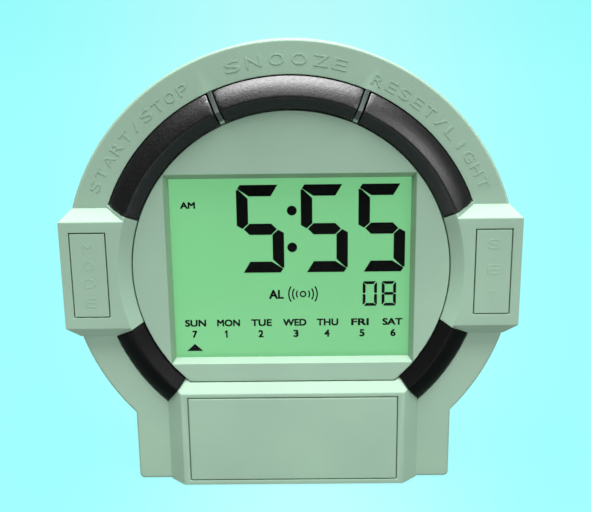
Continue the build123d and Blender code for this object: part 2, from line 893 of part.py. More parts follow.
def switches():
    """One small switch under each button and key."""
    def switch(x, y, angle):
        body = extrude(Rectangle(switch_side, switch_side), switch_body_height)
        cap = extrude(Circle(switch_cap_radius), switch_body_height + switch_cap_height)
        return Pos(x, y, board_front) * Rot(0, 0, angle) * (body + cap)
    row = [switch(*polar(stem_ring_radius, angle), angle) for angle in slot_middles()]
    return row + [switch(side * key_middle_x, key_middle_y, 0) for side in (-1, 1)]


def screw(x, y, seat, head, shank, head_height, length):
    """Round-headed screw driven in from the back, with a cross slot."""
    bolt = rod(x, y, head, seat - head_height, seat) + rod(x, y, shank, seat, seat + length)
    length_across = cross_length * head
    width_across = cross_width * head
    cross = Box(length_across, width_across, 2 * cross_depth * head_height)
    cross += Box(width_across, length_across, 2 * cross_depth * head_height)
    return bolt - Pos(x, y, seat - head_height) * cross


def case_screws():
    """Screws that close the case."""
    return [screw(x, y, -recess_depth, screw_head, screw_shank, screw_head_height,
                  recess_depth - front_wall - case_screw_gap) for x, y in post_places()]


def dial_screws():
    """Screws that hold the dial plate to the front case."""
    return [screw(x, y, flange_back, small_head, small_shank, small_head_height,
                  flange_depth + flange_thickness - front_wall - screw_end_gap)
            for x, y in tab_places()]


def board_screws():
    """Screws that hold the board to the dial plate."""
    return [screw(x, y, board_back, small_head, small_shank, small_head_height,
                  board_thickness + board_depth - flange_depth - flange_thickness - screw_end_gap)
            for x, y in board_screw_places()]


def heel_block(inset):
    """Deeper lower part of the rear case, drawn in by a wall."""
    profile = Plane.YZ * make_face(Polyline(
        (-heel_top - inset, -rear_depth + rear_wall + weld),
        (-heel_top - inset, -rear_depth + inset),
        (-heel_top - heel_slope - inset, -heel_depth + inset),
        (-heel_run_out * rim_radius, -heel_depth + inset),
        (-heel_run_out * rim_radius, -rear_depth + rear_wall + weld),
        close=True))
    return extrude(profile, heel_half_width - inset, both=True)


def bay(gap, low, high):
    """Battery bay, made larger by a wall."""
    return slab(-bay_half_width - gap, bay_half_width + gap, -bay_bottom - gap, -bay_top + gap,
                low, high)


def rear_case():
    """Rear shell with the heel, the battery bay, the screw columns and the sound slots."""
    drum = prism(case_outline(rear_inset), -rear_depth, -split_depth)
    drum = chamfer(drum.faces().sort_by(Axis.Z)[0].edges(), rear_chamfer)
    heel = heel_block(0)
    heel = chamfer(heel.faces().sort_by(Axis.Z)[0].edges(), heel_chamfer)
    shell = drum + heel
    for ear in both_sides(prism(ear_outline(), -split_depth - rear_ear_thickness, -split_depth)):
        shell += ear
    shell -= under(pad_stand)
    hollow = prism(case_outline(rear_inset + rear_wall), -rear_depth + rear_wall, -split_depth)
    hollow += heel_block(rear_wall)
    shell -= hollow - under(pad_stand + side_wall)
    rib = prism(case_outline(side_wall + lip_gap)
                - case_outline(side_wall + lip_gap + lip_thickness),
                -split_depth - lip_height, -split_depth + lip_height)
    rib -= under(pad_stand + side_wall + lip_gap)
    rib -= slab(-2 * rim_radius, 2 * rim_radius, -ear_bottom - ear_bevel - lip_thickness,
                ear_top + ear_bevel + lip_thickness, -2 * rear_depth, 0)
    shell += rib
    shell += bay(bay_wall, -heel_depth, -bay_front + bay_wall) - under(pad_stand)
    shell -= bay(0, -heel_depth, -bay_front)
    shell -= bay(door_ledge, -heel_depth, -heel_depth + door_thickness + layer_gap)
    for height in (upper_cell, lower_cell):
        shell -= slab(-bay_half_width, -bay_half_width + plate_thickness + layer_gap,
                      -height - tab_half - layer_gap, -height + tab_half + layer_gap,
                      -bay_front, -bay_front + bay_wall)
    for x, y in post_places():
        shell += rod(x, y, column_radius, -rear_depth + weld, -split_depth)
        shell -= rod(x, y, screw_shank + screw_gap, -rear_depth, -split_depth)
        shell -= rod(x, y, recess_radius, -rear_depth, -recess_depth)
    shell += buzzer_holder()
    for step in (-2, -1, 0, 1, 2):
        shell -= slab(step * slot_pitch - slot_width / 2, step * slot_pitch + slot_width / 2,
                      buzzer_height - slot_half, buzzer_height + slot_half,
                      -rear_depth, -rear_depth + rear_wall)
    for x in (-rear_pad_x, rear_pad_x):
        shell -= foot_pad(x, rear_pad_forward, pad_gap)
    return shell


def buzzer_holder():
    """Stepped ring on the inside of the back that carries the buzzer disc."""
    back = -rear_depth + rear_wall
    inner = buzzer_radius - buzzer_ledge
    outer = buzzer_radius + buzzer_gap
    ring = turned([(inner, back - weld), (inner, back + buzzer_seat), (outer, back + buzzer_seat),
                   (outer, back + buzzer_ring_height),
                   (outer + buzzer_ring_wall, back + buzzer_ring_height),
                   (outer + buzzer_ring_wall, back - weld)])
    return Pos(0, buzzer_height) * ring


def buzzer():
    """Brass sound disc with its thin ceramic layer."""
    seat = -rear_depth + rear_wall + buzzer_seat
    disc = rod(0, buzzer_height, buzzer_radius, seat, seat + buzzer_thickness)
    return disc + rod(0, buzzer_height, buzzer_core * buzzer_radius, seat, seat + 2 * buzzer_thickness)


def battery_door():
    """Lift-off cover of the battery bay with a locating rim and grip grooves."""
    side = door_ledge - door_gap
    door = bay(side, -heel_depth, -heel_depth + door_thickness)
    rim = bay(-door_gap, -heel_depth, -heel_depth + door_thickness + door_rim)
    rim -= slab(-bay_half_width, bay_half_width, -bay_bottom + door_gap + door_rim,
                -bay_top - door_gap - door_rim, -heel_depth, -bay_front)
    door += rim
    for step in range(groove_count):
        y = -bay_top - groove_start - groove_pitch * step
        door -= slab(-groove_half, groove_half, y - groove_depth, y + groove_depth,
                     -heel_depth, -heel_depth + groove_depth)
    return door


def battery_cells():
    """Two cells lying side by side, pointing opposite ways."""
    start = bay_half_width - plate_thickness - nub_length - cell_length
    cell = extrude(Circle(cell_radius), cell_length)
    nub = Pos(0, 0, cell_length) * extrude(Circle(nub_radius), nub_length)
    cell = fillet(cell.edges(), cell_round) + nub
    lying = Pos(start, 0, -cell_depth) * Rot(0, 90, 0) * cell
    return [Pos(0, -upper_cell) * lying, Pos(0, -lower_cell) * mirror(lying, Plane.YZ)]


def battery_springs():
    """Springs at the flat ends of the cells."""
    room = 2 * bay_half_width - 2 * plate_thickness - nub_length - cell_length
    spring = coil(battery_spring_radius, battery_spring_wire, battery_spring_turns, room - layer_gap)
    lying = Pos(-bay_half_width + plate_thickness, 0, -cell_depth) * Rot(0, 90, 0) * spring
    return [Pos(0, -upper_cell) * lying, Pos(0, -lower_cell) * mirror(lying, Plane.YZ)]


def battery_plates():
    """Contact plates: one at each left-hand cell end with its tab, and one joining the right."""
    plates = []
    for height in (upper_cell, lower_cell):
        plate = slab(-bay_half_width, -bay_half_width + plate_thickness, -height - plate_half,
                     -height + plate_half, -cell_depth - plate_half, -bay_front)
        plates.append(plate + slab(-bay_half_width, -bay_half_width + plate_thickness,
                                   -height - tab_half, -height + tab_half, -bay_front,
                                   -bay_front + bay_wall + tab_length))
    plates.append(slab(bay_half_width - plate_thickness, bay_half_width,
                       -lower_cell - plate_half, -upper_cell + plate_half,
                       -cell_depth - plate_half, -bay_front))
    return plates


def lead(start, start_height, end):
    """Insulated wire that leaves its contact square, crosses over and meets the board square."""
    line = FilletPolyline((*start, start_height), (*start, start_height + lead_rise),
                          (*end, board_back - lead_rise), (*end, board_back), radius=lead_bend)
    return sweep(Plane(line @ 0, z_dir=line % 0) * Circle(lead_radius), line)


def battery_leads():
    """Wires from the tabs of the battery bay to the back of the board."""
    start = -bay_front + bay_wall + tab_length
    x = -bay_half_width + plate_thickness / 2
    return [lead((x, -height), start, (end_x, -battery_pad_y))
            for height, end_x in zip((upper_cell, lower_cell), battery_pad_xs)]


def buzzer_leads():
    """Wires from the sound disc to the back of the board."""
    start = -rear_depth + rear_wall + buzzer_seat + 2 * buzzer_thickness
    return [lead((side * buzzer_wire_x, buzzer_height), start,
                 (side * buzzer_pad_x, buzzer_pad_y)) for side in (-1, 1)]


def rubber_feet():
    """Four round pads under the case."""
    front = [foot_pad(side * front_pad_x, front_pad_forward, 0) for side in (-1, 1)]
    return front + [foot_pad(side * rear_pad_x, rear_pad_forward, 0) for side in (-1, 1)]


def all_pieces():
    """Every piece by its node name, in the frame of the face."""
    right_button, top_middle, left_middle = slot_middles()
    reset_button = curved_button(side_slot, right_button)
    key = side_key()
    trim = lower_trim()
    return {
        "front_case": front_case(),
        "rear_case": rear_case(),
        "dial_plate": dial_plate(),
        "base_panel": base_panel(),
        "lower_trim_left": mirror(trim, Plane.YZ),
        "lower_trim_right": trim,
        "start_button": mirror(reset_button, Plane.YZ),
        "snooze_button": curved_button(top_slot, top_middle),
        "reset_button": reset_button,
        "left_key": mirror(key, Plane.YZ),
        "right_key": key,
        "return_springs": return_springs(),
        "display_window": pocket(layer_gap, pane_low, window_low),
        "lcd_glass": lcd_glass(),
        "display_segments": display_segments(),
        "light_guide": light_guide(),
        "backlight_led": backlight_led(),
        "lcd_holder": lcd_holder(),
        "zebra_strip": zebra_band(0, board_front, lcd_front - lcd_thickness / 2),
        "circuit_board": circuit_board(),
        "controller_chip": controller_chip(),
        "watch_crystal": watch_crystal(),
        "chip_parts": chip_parts(),
        "switches": switches(),
        "buzzer": buzzer(),
        "case_screws": case_screws(),
        "dial_screws": dial_screws(),
        "board_screws": board_screws(),
        "battery_door": battery_door(),
        "battery_cells": battery_cells(),
        "battery_springs": battery_springs(),
        "battery_plates": battery_plates(),
        "battery_leads": battery_leads(),
        "buzzer_leads": buzzer_leads(),
        "rubber_feet": rubber_feet(),
    }


def as_shape(piece):
    """One shape of a piece or of a list of like pieces."""
    if isinstance(piece, list):
        return Compound(children=[solid for part in piece for solid in part.solids()])
    return Compound(children=piece.solids()) if len(piece.solids()) > 1 else piece.solids()[0]


def stand(pieces):
    """Lean the pieces back, stand them on the table and centre them front to back."""
    lean_back = Pos(0, 0, centre_height) * Rot(90 - lean, 0, 0)
    stood = {name: lean_back * as_shape(piece) for name, piece in pieces.items()}
    boxes = [shape.bounding_box() for shape in stood.values()]
    middle = (min(box.min.Y for box in boxes) + max(box.max.Y for box in boxes)) / 2
    return {name: Pos(0, -middle, 0) * shape for name, shape in stood.items()}


if __name__ == "__main__":
    os.makedirs("parts", exist_ok=True)
    for name, shape in stand(all_pieces()).items():
        export_step(shape, f"parts/{name}.step")
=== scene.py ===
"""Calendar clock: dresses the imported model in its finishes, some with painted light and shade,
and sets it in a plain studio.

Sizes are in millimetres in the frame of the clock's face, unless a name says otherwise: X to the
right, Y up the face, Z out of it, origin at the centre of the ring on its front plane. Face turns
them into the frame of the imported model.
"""
import logging
import math
from abc import ABC, abstractmethod
from collections.abc import Callable
from dataclasses import dataclass, field
from enum import Enum

import bmesh
import bpy
from mathutils import Matrix, Vector


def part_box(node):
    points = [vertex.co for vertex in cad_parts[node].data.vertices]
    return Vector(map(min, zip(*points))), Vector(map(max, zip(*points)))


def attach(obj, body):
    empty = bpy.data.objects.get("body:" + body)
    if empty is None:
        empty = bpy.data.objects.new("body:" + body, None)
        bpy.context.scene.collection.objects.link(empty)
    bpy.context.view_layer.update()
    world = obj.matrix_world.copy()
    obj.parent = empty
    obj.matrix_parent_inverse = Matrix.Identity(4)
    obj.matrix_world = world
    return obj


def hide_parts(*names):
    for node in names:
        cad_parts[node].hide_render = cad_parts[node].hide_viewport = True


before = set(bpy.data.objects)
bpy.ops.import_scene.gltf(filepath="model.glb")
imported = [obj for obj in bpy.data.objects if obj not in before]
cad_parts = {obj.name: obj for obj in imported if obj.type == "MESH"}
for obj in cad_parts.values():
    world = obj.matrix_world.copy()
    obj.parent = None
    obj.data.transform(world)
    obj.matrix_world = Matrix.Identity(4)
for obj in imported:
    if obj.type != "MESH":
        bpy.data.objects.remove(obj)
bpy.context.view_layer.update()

MM = 0.001
LOG = logging.getLogger("calendar_clock")

Colour = tuple[int, int, int]
Span = tuple[float, float]

# Spans that most of the values of a cloudy noise lie in, and that its middle lies in.
MOST_OF_NOISE: Span = (0.3, 0.7)
MIDDLE_OF_NOISE: Span = (0.35, 0.65)


class Body(Enum):
    """The bodies of the clock that pieces move with."""

    CASE = "case"
    START = "start_button"
    SNOOZE = "snooze_button"
    RESET = "reset_button"
    LEFT_KEY = "left_key"
    RIGHT_KEY = "right_key"
    DOOR = "battery_door"


class Slot(Enum):
    """Names of material slots of the record; nothing in this script uses them."""

    SAGE = "case_plastic"
    BLACK = "black_plastic"
    MARK = "display_mark"


class Side(Enum):
    """The two sides of the clock, as the sign of X."""

    LEFT = -1
    RIGHT = 1


class Change(Enum):
    """The ways in which one colour of a ramp changes to the next."""

    EVEN = "LINEAR"
    SOFT = "EASE"
    HARD = "CONSTANT"


@dataclass(frozen=True)
class Face:
    """The leaning face of the clock, in which the sizes of this scene are given.

    Attributes:
        lean: how far the face leans back from upright, in degrees.
        ring_to_sole: from the middle of the ring down the face to the sole.
        pad_stand: how far the rubber feet stand out of the sole.
        ring_behind_pad: from the front edge of the front feet back to the ring's front plane.
    """

    lean: float = 5.0
    ring_to_sole: float = 58.2
    pad_stand: float = 0.5
    ring_behind_pad: float = 3.0

    @property
    def matrix(self) -> Matrix:
        """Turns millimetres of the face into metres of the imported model.

        Returns:
            The matrix that does so.
        """
        height = self.ring_to_sole * math.cos(math.radians(self.lean)) + self.pad_stand
        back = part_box("rubber_feet")[0][1] / MM + self.ring_behind_pad
        return (Matrix.Scale(MM, 4) @ Matrix.Translation((0, back, height))
                @ Matrix.Rotation(math.radians(90 - self.lean), 4, "X"))

    def spot(self, place: tuple[float, float, float]) -> Vector:
        """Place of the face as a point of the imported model."""
        return self.matrix @ Vector(place)


def linear(colour: Colour) -> tuple[float, float, float, float]:
    """Turns a colour as a picture gives it, 0 to 255, into the light that a shader needs.

    Args:
        colour: red, green and blue, 0 to 255.

    Returns:
        The same colour in linear light, with full alpha.
    """
    def channel(value: int) -> float:
        """Linear light of one channel."""
        share = value / 255
        return share / 12.92 if share <= 0.04045 else ((share + 0.055) / 1.055) ** 2.4
    return (*(channel(value) for value in colour), 1.0)


def shade(colour: Colour, factor: float) -> Colour:
    """A colour made lighter or darker by a factor, within what a picture holds."""
    red, green, blue = (min(255, round(value * factor)) for value in colour)
    return red, green, blue


class Recipe:
    """A node material while it is being mixed, with its coordinates in face millimetres."""

    def __init__(self, name: str, face: Face) -> None:
        """Starts a material.

        Args:
            name: the material's name.
            face: the face whose millimetres the patterns are measured in.
        """
        self.material = bpy.data.materials.new(name)
        self.material.use_nodes = True
        self.tree = self.material.node_tree
        self.shader = self.tree.nodes["Principled BSDF"]
        place, turn, size = face.matrix.inverted().decompose()
        mapping = self.add("ShaderNodeMapping")
        mapping.inputs["Location"].default_value = place
        mapping.inputs["Rotation"].default_value = turn.to_euler()
        mapping.inputs["Scale"].default_value = size
        self.link(self.add("ShaderNodeTexCoord").outputs["Object"], mapping.inputs["Vector"])
        self.where = mapping.outputs["Vector"]

    def add(self, kind: str) -> bpy.types.Node:
        """Adds a node of a kind."""
        return self.tree.nodes.new(kind)

    def link(self, source: bpy.types.NodeSocket, target: bpy.types.NodeSocket) -> None:
        """Joins two sockets."""
        self.tree.links.new(source, target)

    def feed(self, name: str, source: bpy.types.NodeSocket) -> None:
        """Gives the shader a value or colour that changes over the surface."""
        self.link(source, self.shader.inputs[name])

    def surface(self, **values: object) -> None:
        """Sets plain values on the shader; underscores in a name stand for spaces."""
        for name, value in values.items():
            self.shader.inputs[name.replace("_", " ")].default_value = value

    def noise(self, grain: float, detail: float = 2.0) -> bpy.types.NodeSocket:
        """Adds cloudy noise.

        Args:
            grain: size of one lump in millimetres.
            detail: how many finer layers ride on it.

        Returns:
            The noise, about 0 to 1.
        """
        node = self.add("ShaderNodeTexNoise")
        node.inputs["Scale"].default_value = 1 / grain
        node.inputs["Detail"].default_value = detail
        self.link(self.where, node.inputs["Vector"])
        return node.outputs["Fac"]

    def ramp(self, source: bpy.types.NodeSocket, stops: list[tuple[float, Colour]],
             change: Change = Change.EVEN) -> bpy.types.NodeSocket:
        """Adds a run of colours along a value.

        Args:
            source: the value, 0 to 1.
            stops: each a place along the value and the colour there.
            change: how one colour changes to the next.

        Returns:
            The colour.
        """
        node = self.add("ShaderNodeValToRGB")
        node.color_ramp.interpolation = change.value
        points = node.color_ramp.elements
        while len(points) < len(stops):
            points.new(0.5)
        for point, (place, colour) in zip(points, stops):
            point.position = place
            point.color = linear(colour)
        self.link(source, node.inputs["Fac"])
        return node.outputs["Color"]

    def clouds(self, noise: bpy.types.NodeSocket, dark: Colour, light: Colour,
               span: Span = MOST_OF_NOISE) -> bpy.types.NodeSocket:
        """Adds a colour that drifts from a dark to a light one over a span of a noise."""
        return self.ramp(noise, [(span[0], dark), (span[1], light)])

    def between(self, source: bpy.types.NodeSocket, low: float, high: float,
                to_low: float = 0.0, to_high: float = 1.0) -> bpy.types.NodeSocket:
        """Adds a node that spreads a value from one range over another.

        Args:
            source: the value.
            low: lower end of its range.
            high: upper end of its range.
            to_low: what the lower end becomes.
            to_high: what the upper end becomes.

        Returns:
            The new value.
        """
        node = self.add("ShaderNodeMapRange")
        for name, value in (("From Min", low), ("From Max", high),
                            ("To Min", to_low), ("To Max", to_high)):
            node.inputs[name].default_value = value
        self.link(source, node.inputs["Value"])
        return node.outputs["Result"]

    def choose(self, share: bpy.types.NodeSocket, off: float, on: float) -> bpy.types.NodeSocket:
        """Adds a value that is off where a share is 0 and on where it is 1."""
        return self.between(share, 0.0, 1.0, off, on)

    def dull(self, noise: bpy.types.NodeSocket, smooth: float, rough: float,
             span: Span = MOST_OF_NOISE) -> None:
        """Lets the roughness drift from smooth to rough over a span of a noise."""
        self.feed("Roughness", self.between(noise, *span, smooth, rough))

    def calc(self, operation: str, first: bpy.types.NodeSocket,
             second: bpy.types.NodeSocket | float) -> bpy.types.NodeSocket:
        """Adds a node that works out two values with one operation.

        Args:
            operation: the operation, by its name in Blender.
            first: the first value.
            second: the second value, as a socket or a plain number.

        Returns:
            The result.
        """
        node = self.add("ShaderNodeMath")
        node.operation = operation
        self.link(first, node.inputs[0])
        if isinstance(second, bpy.types.NodeSocket):
            self.link(second, node.inputs[1])
        else:
            node.inputs[1].default_value = second
        return node.outputs["Value"]

    def blend(self, share: bpy.types.NodeSocket, first: Colour | bpy.types.NodeSocket,
              second: Colour | bpy.types.NodeSocket) -> bpy.types.NodeSocket:
        """Adds a mix of two colours, each a plain colour or a socket.

        Args:
            share: share of the second colour, 0 to 1.
            first: the colour at share 0.
            second: the colour at share 1.

        Returns:
            The mixed colour.
        """
        node = self.add("ShaderNodeMix")
        node.data_type = "RGBA"
        self.link(share, node.inputs["Factor"])
        for name, colour in (("A", first), ("B", second)):
            socket = next(i for i in node.inputs if i.name == name and i.type == "RGBA")
            if isinstance(colour, bpy.types.NodeSocket):
                self.link(colour, socket)
            else:
                socket.default_value = linear(colour)
        return next(o for o in node.outputs if o.type == "RGBA")

    def dimmed(self, colour: bpy.types.NodeSocket, share: float) -> bpy.types.NodeSocket:
        """Adds a colour with less light.

        Args:
            colour: the colour that is dimmed.
            share: how much of its light is left.

        Returns:
            The dimmed colour.
        """
        node = self.add("ShaderNodeMix")
        node.data_type = "RGBA"
        node.blend_type = "MULTIPLY"
        node.inputs["Factor"].default_value = 1.0
        first, second = (i for i in node.inputs if i.type == "RGBA")
        self.link(colour, first)
        second.default_value = (share, share, share, 1.0)
        return next(o for o in node.outputs if o.type == "RGBA")

    def axes(self) -> tuple[bpy.types.NodeSocket, ...]:
        """Splits the face coordinates.

        Returns:
            X, Y and Z.
        """
        node = self.add("ShaderNodeSeparateXYZ")
        self.link(self.where, node.inputs["Vector"])
        return tuple(node.outputs)

    def relief(self, source: bpy.types.NodeSocket, depth: float) -> None:
        """Gives the shader a bump.

        Args:
            source: the height, 0 to 1.
            depth: how high 1 stands, in millimetres.
        """
        node = self.add("ShaderNodeBump")
        node.inputs["Distance"].default_value = depth * MM
        self.link(source, node.inputs["Height"])
        self.feed("Normal", node.outputs["Normal"])


class Finish(ABC):
    """One finish of the clock, which is mixed as a node material from its own values."""

    name: str

    def material(self, face: Face) -> bpy.types.Material:
        """Mixes the finish.

        Args:
            face: the face whose millimetres the patterns are measured in.

        Returns:
            The node material.
        """
        mix = Recipe(self.name, face)
        self.fill(mix)
        return mix.material

    @abstractmethod
    def fill(self, mix: Recipe) -> None:
        """Puts the finish into a recipe."""


@dataclass(frozen=True)
class MouldedPlastic(Finish):
    """Opaque moulded plastic with the fine eroded grain of its mould.

    Attributes:
        name: the material's name.
        tint: colour of the plastic.
        roughness: how dull it is.
        grain: size of the grain in millimetres.
        depth: height of the grain in millimetres.
        drift: how much the colour wanders over the piece.
        gloss: share of the plain specular reflection.
        cloud: size of the clouds that the colour wanders in, in millimetres.
        unevenness: how much duller and smoother the grain makes it.
    """

    name: str
    tint: Colour
    roughness: float = 0.5
    grain: float = 0.4
    depth: float = 0.012
    drift: float = 0.02
    gloss: float = 0.4
    cloud: float = 28.0
    unevenness: float = 0.06

    def fill(self, mix: Recipe) -> None:
        """Puts the plastic into a recipe.

        Args:
            mix: the recipe.
        """
        cloud = mix.noise(self.cloud, detail=3.0)
        mix.feed("Base Color", mix.clouds(cloud, shade(self.tint, 1 - self.drift),
                                          shade(self.tint, 1 + self.drift)))
        fine = mix.noise(self.grain, detail=3.0)
        mix.dull(fine, self.roughness - self.unevenness, self.roughness + self.unevenness)
        mix.surface(Specular_IOR_Level=self.gloss)
        mix.relief(fine, self.depth)


@dataclass(frozen=True)
class PaintedGlowDisplay(Finish):
    """Reflective display cell whose colour glows evenly as painted light, so that its recess
    casts no shade on it.

    Attributes:
        name: the material's name.
        tint: colour of the lit cell.
        glow: share of that colour that glows, as painted light.
        body: share of that colour that it reflects.
        reach: how far the lit cell goes to each side.
        left_gain: brightness of its left end.
        right_gain: brightness of its right end.
        speck: size of its faint specks in millimetres.
        speck_span: the span of the noise that the specks fade over.
        speck_share: how much of a speck's own shade shows.
        speck_gain: brightness of that shade.
        roughness: how dull its front is.
        gloss: share of the plain specular reflection.
    """

    name: str
    tint: Colour
    glow: float = 0.7
    body: float = 0.3
    reach: float = 32.0
    left_gain: float = 1.02
    right_gain: float = 0.99
    speck: float = 0.5
    speck_span: Span = (0.2, 0.8)
    speck_share: float = 0.08
    speck_gain: float = 0.9
    roughness: float = 0.35
    gloss: float = 0.2

    def fill(self, mix: Recipe) -> None:
        """Puts the lit cell into a recipe.

        Args:
            mix: the recipe.
        """
        across = mix.between(mix.axes()[0], -self.reach, self.reach)
        light = mix.ramp(across, [(0.0, shade(self.tint, self.left_gain)),
                                  (1.0, shade(self.tint, self.right_gain))])
        speck = mix.between(mix.noise(self.speck, detail=1.0), *self.speck_span,
                            0.0, self.speck_share)
        even = mix.blend(speck, light, shade(self.tint, self.speck_gain))
        # Painted light: the cell glows with its colour, a little brighter at the left end, so
        # that no shade falls on it.
        mix.feed("Emission Color", even)
        mix.feed("Base Color", mix.dimmed(even, self.body))
        mix.surface(Emission_Strength=self.glow, Roughness=self.roughness,
                    Specular_IOR_Level=self.gloss)


@dataclass(frozen=True)
class ClearSheet(Finish):
    """Clear or milky plastic that lets most light straight through.

    Attributes:
        name: the material's name.
        tint: colour of the sheet.
        cover: how much of what lies behind it is hidden.
        roughness: how dull it is.
        cloud: size of the clouds of its colour in millimetres.
        darkest: brightness of its darkest clouds.
        smear: size of the smears on it in millimetres.
        smear_span: the span of the noise that the smears fade over.
        smear_roughness: how much duller a smear is.
        gloss: share of the plain specular reflection.
    """

    name: str
    tint: Colour
    cover: float
    roughness: float = 0.06
    cloud: float = 9.0
    darkest: float = 0.97
    smear: float = 14.0
    smear_span: Span = (0.35, 0.75)
    smear_roughness: float = 0.1
    gloss: float = 0.5

    def fill(self, mix: Recipe) -> None:
        """Puts the clear sheet into a recipe.

        Args:
            mix: the recipe.
        """
        mix.feed("Base Color", mix.clouds(mix.noise(self.cloud), shade(self.tint, self.darkest),
                                          self.tint))
        mix.dull(mix.noise(self.smear, detail=4.0), self.roughness,
                 self.roughness + self.smear_roughness, self.smear_span)
        mix.surface(Alpha=self.cover, Specular_IOR_Level=self.gloss)


@dataclass(frozen=True)
class Metal(Finish):
    """Bare or plated metal with fine marks from drawing and handling.

    Attributes:
        name: the material's name.
        tint: colour of the metal.
        roughness: how dull it is.
        marks: size of the marks in millimetres.
        depth: height of the marks in millimetres.
        cloud: size of the clouds of its colour in millimetres.
        darkest: brightness of its darkest clouds.
        smoother: how much smoother it is between the marks.
        duller: how much duller it is on the marks.
    """

    name: str
    tint: Colour
    roughness: float = 0.3
    marks: float = 0.6
    depth: float = 0.006
    cloud: float = 3.0
    darkest: float = 0.9
    smoother: float = 0.08
    duller: float = 0.14

    def fill(self, mix: Recipe) -> None:
        """Puts the metal into a recipe.

        Args:
            mix: the recipe.
        """
        cloud = mix.noise(self.cloud, detail=3.0)
        mix.feed("Base Color", mix.clouds(cloud, shade(self.tint, self.darkest), self.tint,
                                          MIDDLE_OF_NOISE))
        scratch = mix.noise(self.marks, detail=5.0)
        mix.dull(scratch, self.roughness - self.smoother, self.roughness + self.duller)
        mix.surface(Metallic=1.0)
        mix.relief(scratch, self.depth)


@dataclass(frozen=True)
class SoundDisc(Finish):
    """Brass disc with a round pale ceramic layer.

    Attributes:
        name: the material's name.
        height: height of the disc's middle on the face.
        layer_radius: radius of the ceramic layer.
        ceramic: colour of the ceramic layer.
        worn_brass: colour of the brass where it is tarnished.
        bright_brass: colour of the brass where it is clean.
        wear: size of the tarnished spots in millimetres.
        ceramic_roughness: how dull the ceramic is.
        brass_roughness: how dull the brass is.
        grain: size of the grain in millimetres.
        depth: height of the grain in millimetres.
    """

    name: str = "sound_disc_brass_and_ceramic"
    height: float = 12.0
    layer_radius: float = 8.4
    ceramic: Colour = (226, 222, 210)
    worn_brass: Colour = (176, 140, 72)
    bright_brass: Colour = (206, 172, 98)
    wear: float = 2.5
    ceramic_roughness: float = 0.55
    brass_roughness: float = 0.28
    grain: float = 0.8
    depth: float = 0.008

    def fill(self, mix: Recipe) -> None:
        """Puts the disc into a recipe.

        Args:
            mix: the recipe.
        """
        x, y, _ = mix.axes()
        rise = mix.calc("SUBTRACT", y, self.height)
        square = mix.calc("ADD", mix.calc("MULTIPLY", x, x), mix.calc("MULTIPLY", rise, rise))
        brass = mix.calc("GREATER_THAN", square, self.layer_radius ** 2)
        worn = mix.clouds(mix.noise(self.wear, detail=4.0), self.worn_brass, self.bright_brass,
                          MIDDLE_OF_NOISE)
        mix.feed("Base Color", mix.blend(brass, self.ceramic, worn))
        mix.feed("Metallic", brass)
        mix.feed("Roughness", mix.choose(brass, self.ceramic_roughness, self.brass_roughness))
        mix.relief(mix.noise(self.grain, detail=4.0), self.depth)


@dataclass(frozen=True)
class LacqueredBoard(Finish):
    """Green lacquered board with copper tracks under the lacquer.

    Attributes:
        name: the material's name.
        pitch: spacing of the tracks in millimetres.
        width: width of a track in millimetres.
        depth: how high the tracks stand in millimetres.
        zone: size of the zones in which all tracks run one way, in millimetres.
        zone_limit: the noise above which the tracks of a zone run up the board.
        dark_lacquer: colour of the lacquer where it is thick.
        light_lacquer: colour of the lacquer where it is thin.
        cloud: size of the thick and thin spots in millimetres.
        track: colour of a track under the lacquer.
        roughness: how dull the lacquer is.
        gloss: share of the plain specular reflection.
    """

    name: str = "board_lacquer"
    pitch: float = 2.5
    width: float = 0.5
    depth: float = 0.035
    zone: float = 11.0
    zone_limit: float = 0.52
    dark_lacquer: Colour = (22, 84, 54)
    light_lacquer: Colour = (28, 98, 62)
    cloud: float = 20.0
    track: Colour = (62, 136, 84)
    roughness: float = 0.3
    gloss: float = 0.5

    def stripes(self, mix: Recipe, axis: bpy.types.NodeSocket) -> bpy.types.NodeSocket:
        """Adds lines of one track width at each pitch along an axis.

        Args:
            mix: the recipe.
            axis: the coordinate along the axis.

        Returns:
            1 on a line and 0 beside it.
        """
        step = mix.calc("DIVIDE", axis, self.pitch)
        rest = mix.calc("FRACT", step, 0.0)
        return mix.calc("LESS_THAN", rest, self.width / self.pitch)

    def fill(self, mix: Recipe) -> None:
        """Puts the board into a recipe.

        Args:
            mix: the recipe.
        """
        x, y, _ = mix.axes()
        upright = mix.calc("GREATER_THAN", mix.noise(self.zone, detail=0.0), self.zone_limit)
        across = mix.calc("MULTIPLY", self.stripes(mix, x), upright)
        level = mix.choose(upright, 1.0, 0.0)
        along = mix.calc("MULTIPLY", self.stripes(mix, y), level)
        track = mix.calc("MAXIMUM", across, along)
        lacquer = mix.clouds(mix.noise(self.cloud), self.dark_lacquer, self.light_lacquer)
        mix.feed("Base Color", mix.blend(track, lacquer, self.track))
        mix.surface(Roughness=self.roughness, Specular_IOR_Level=self.gloss)
        mix.relief(track, self.depth)


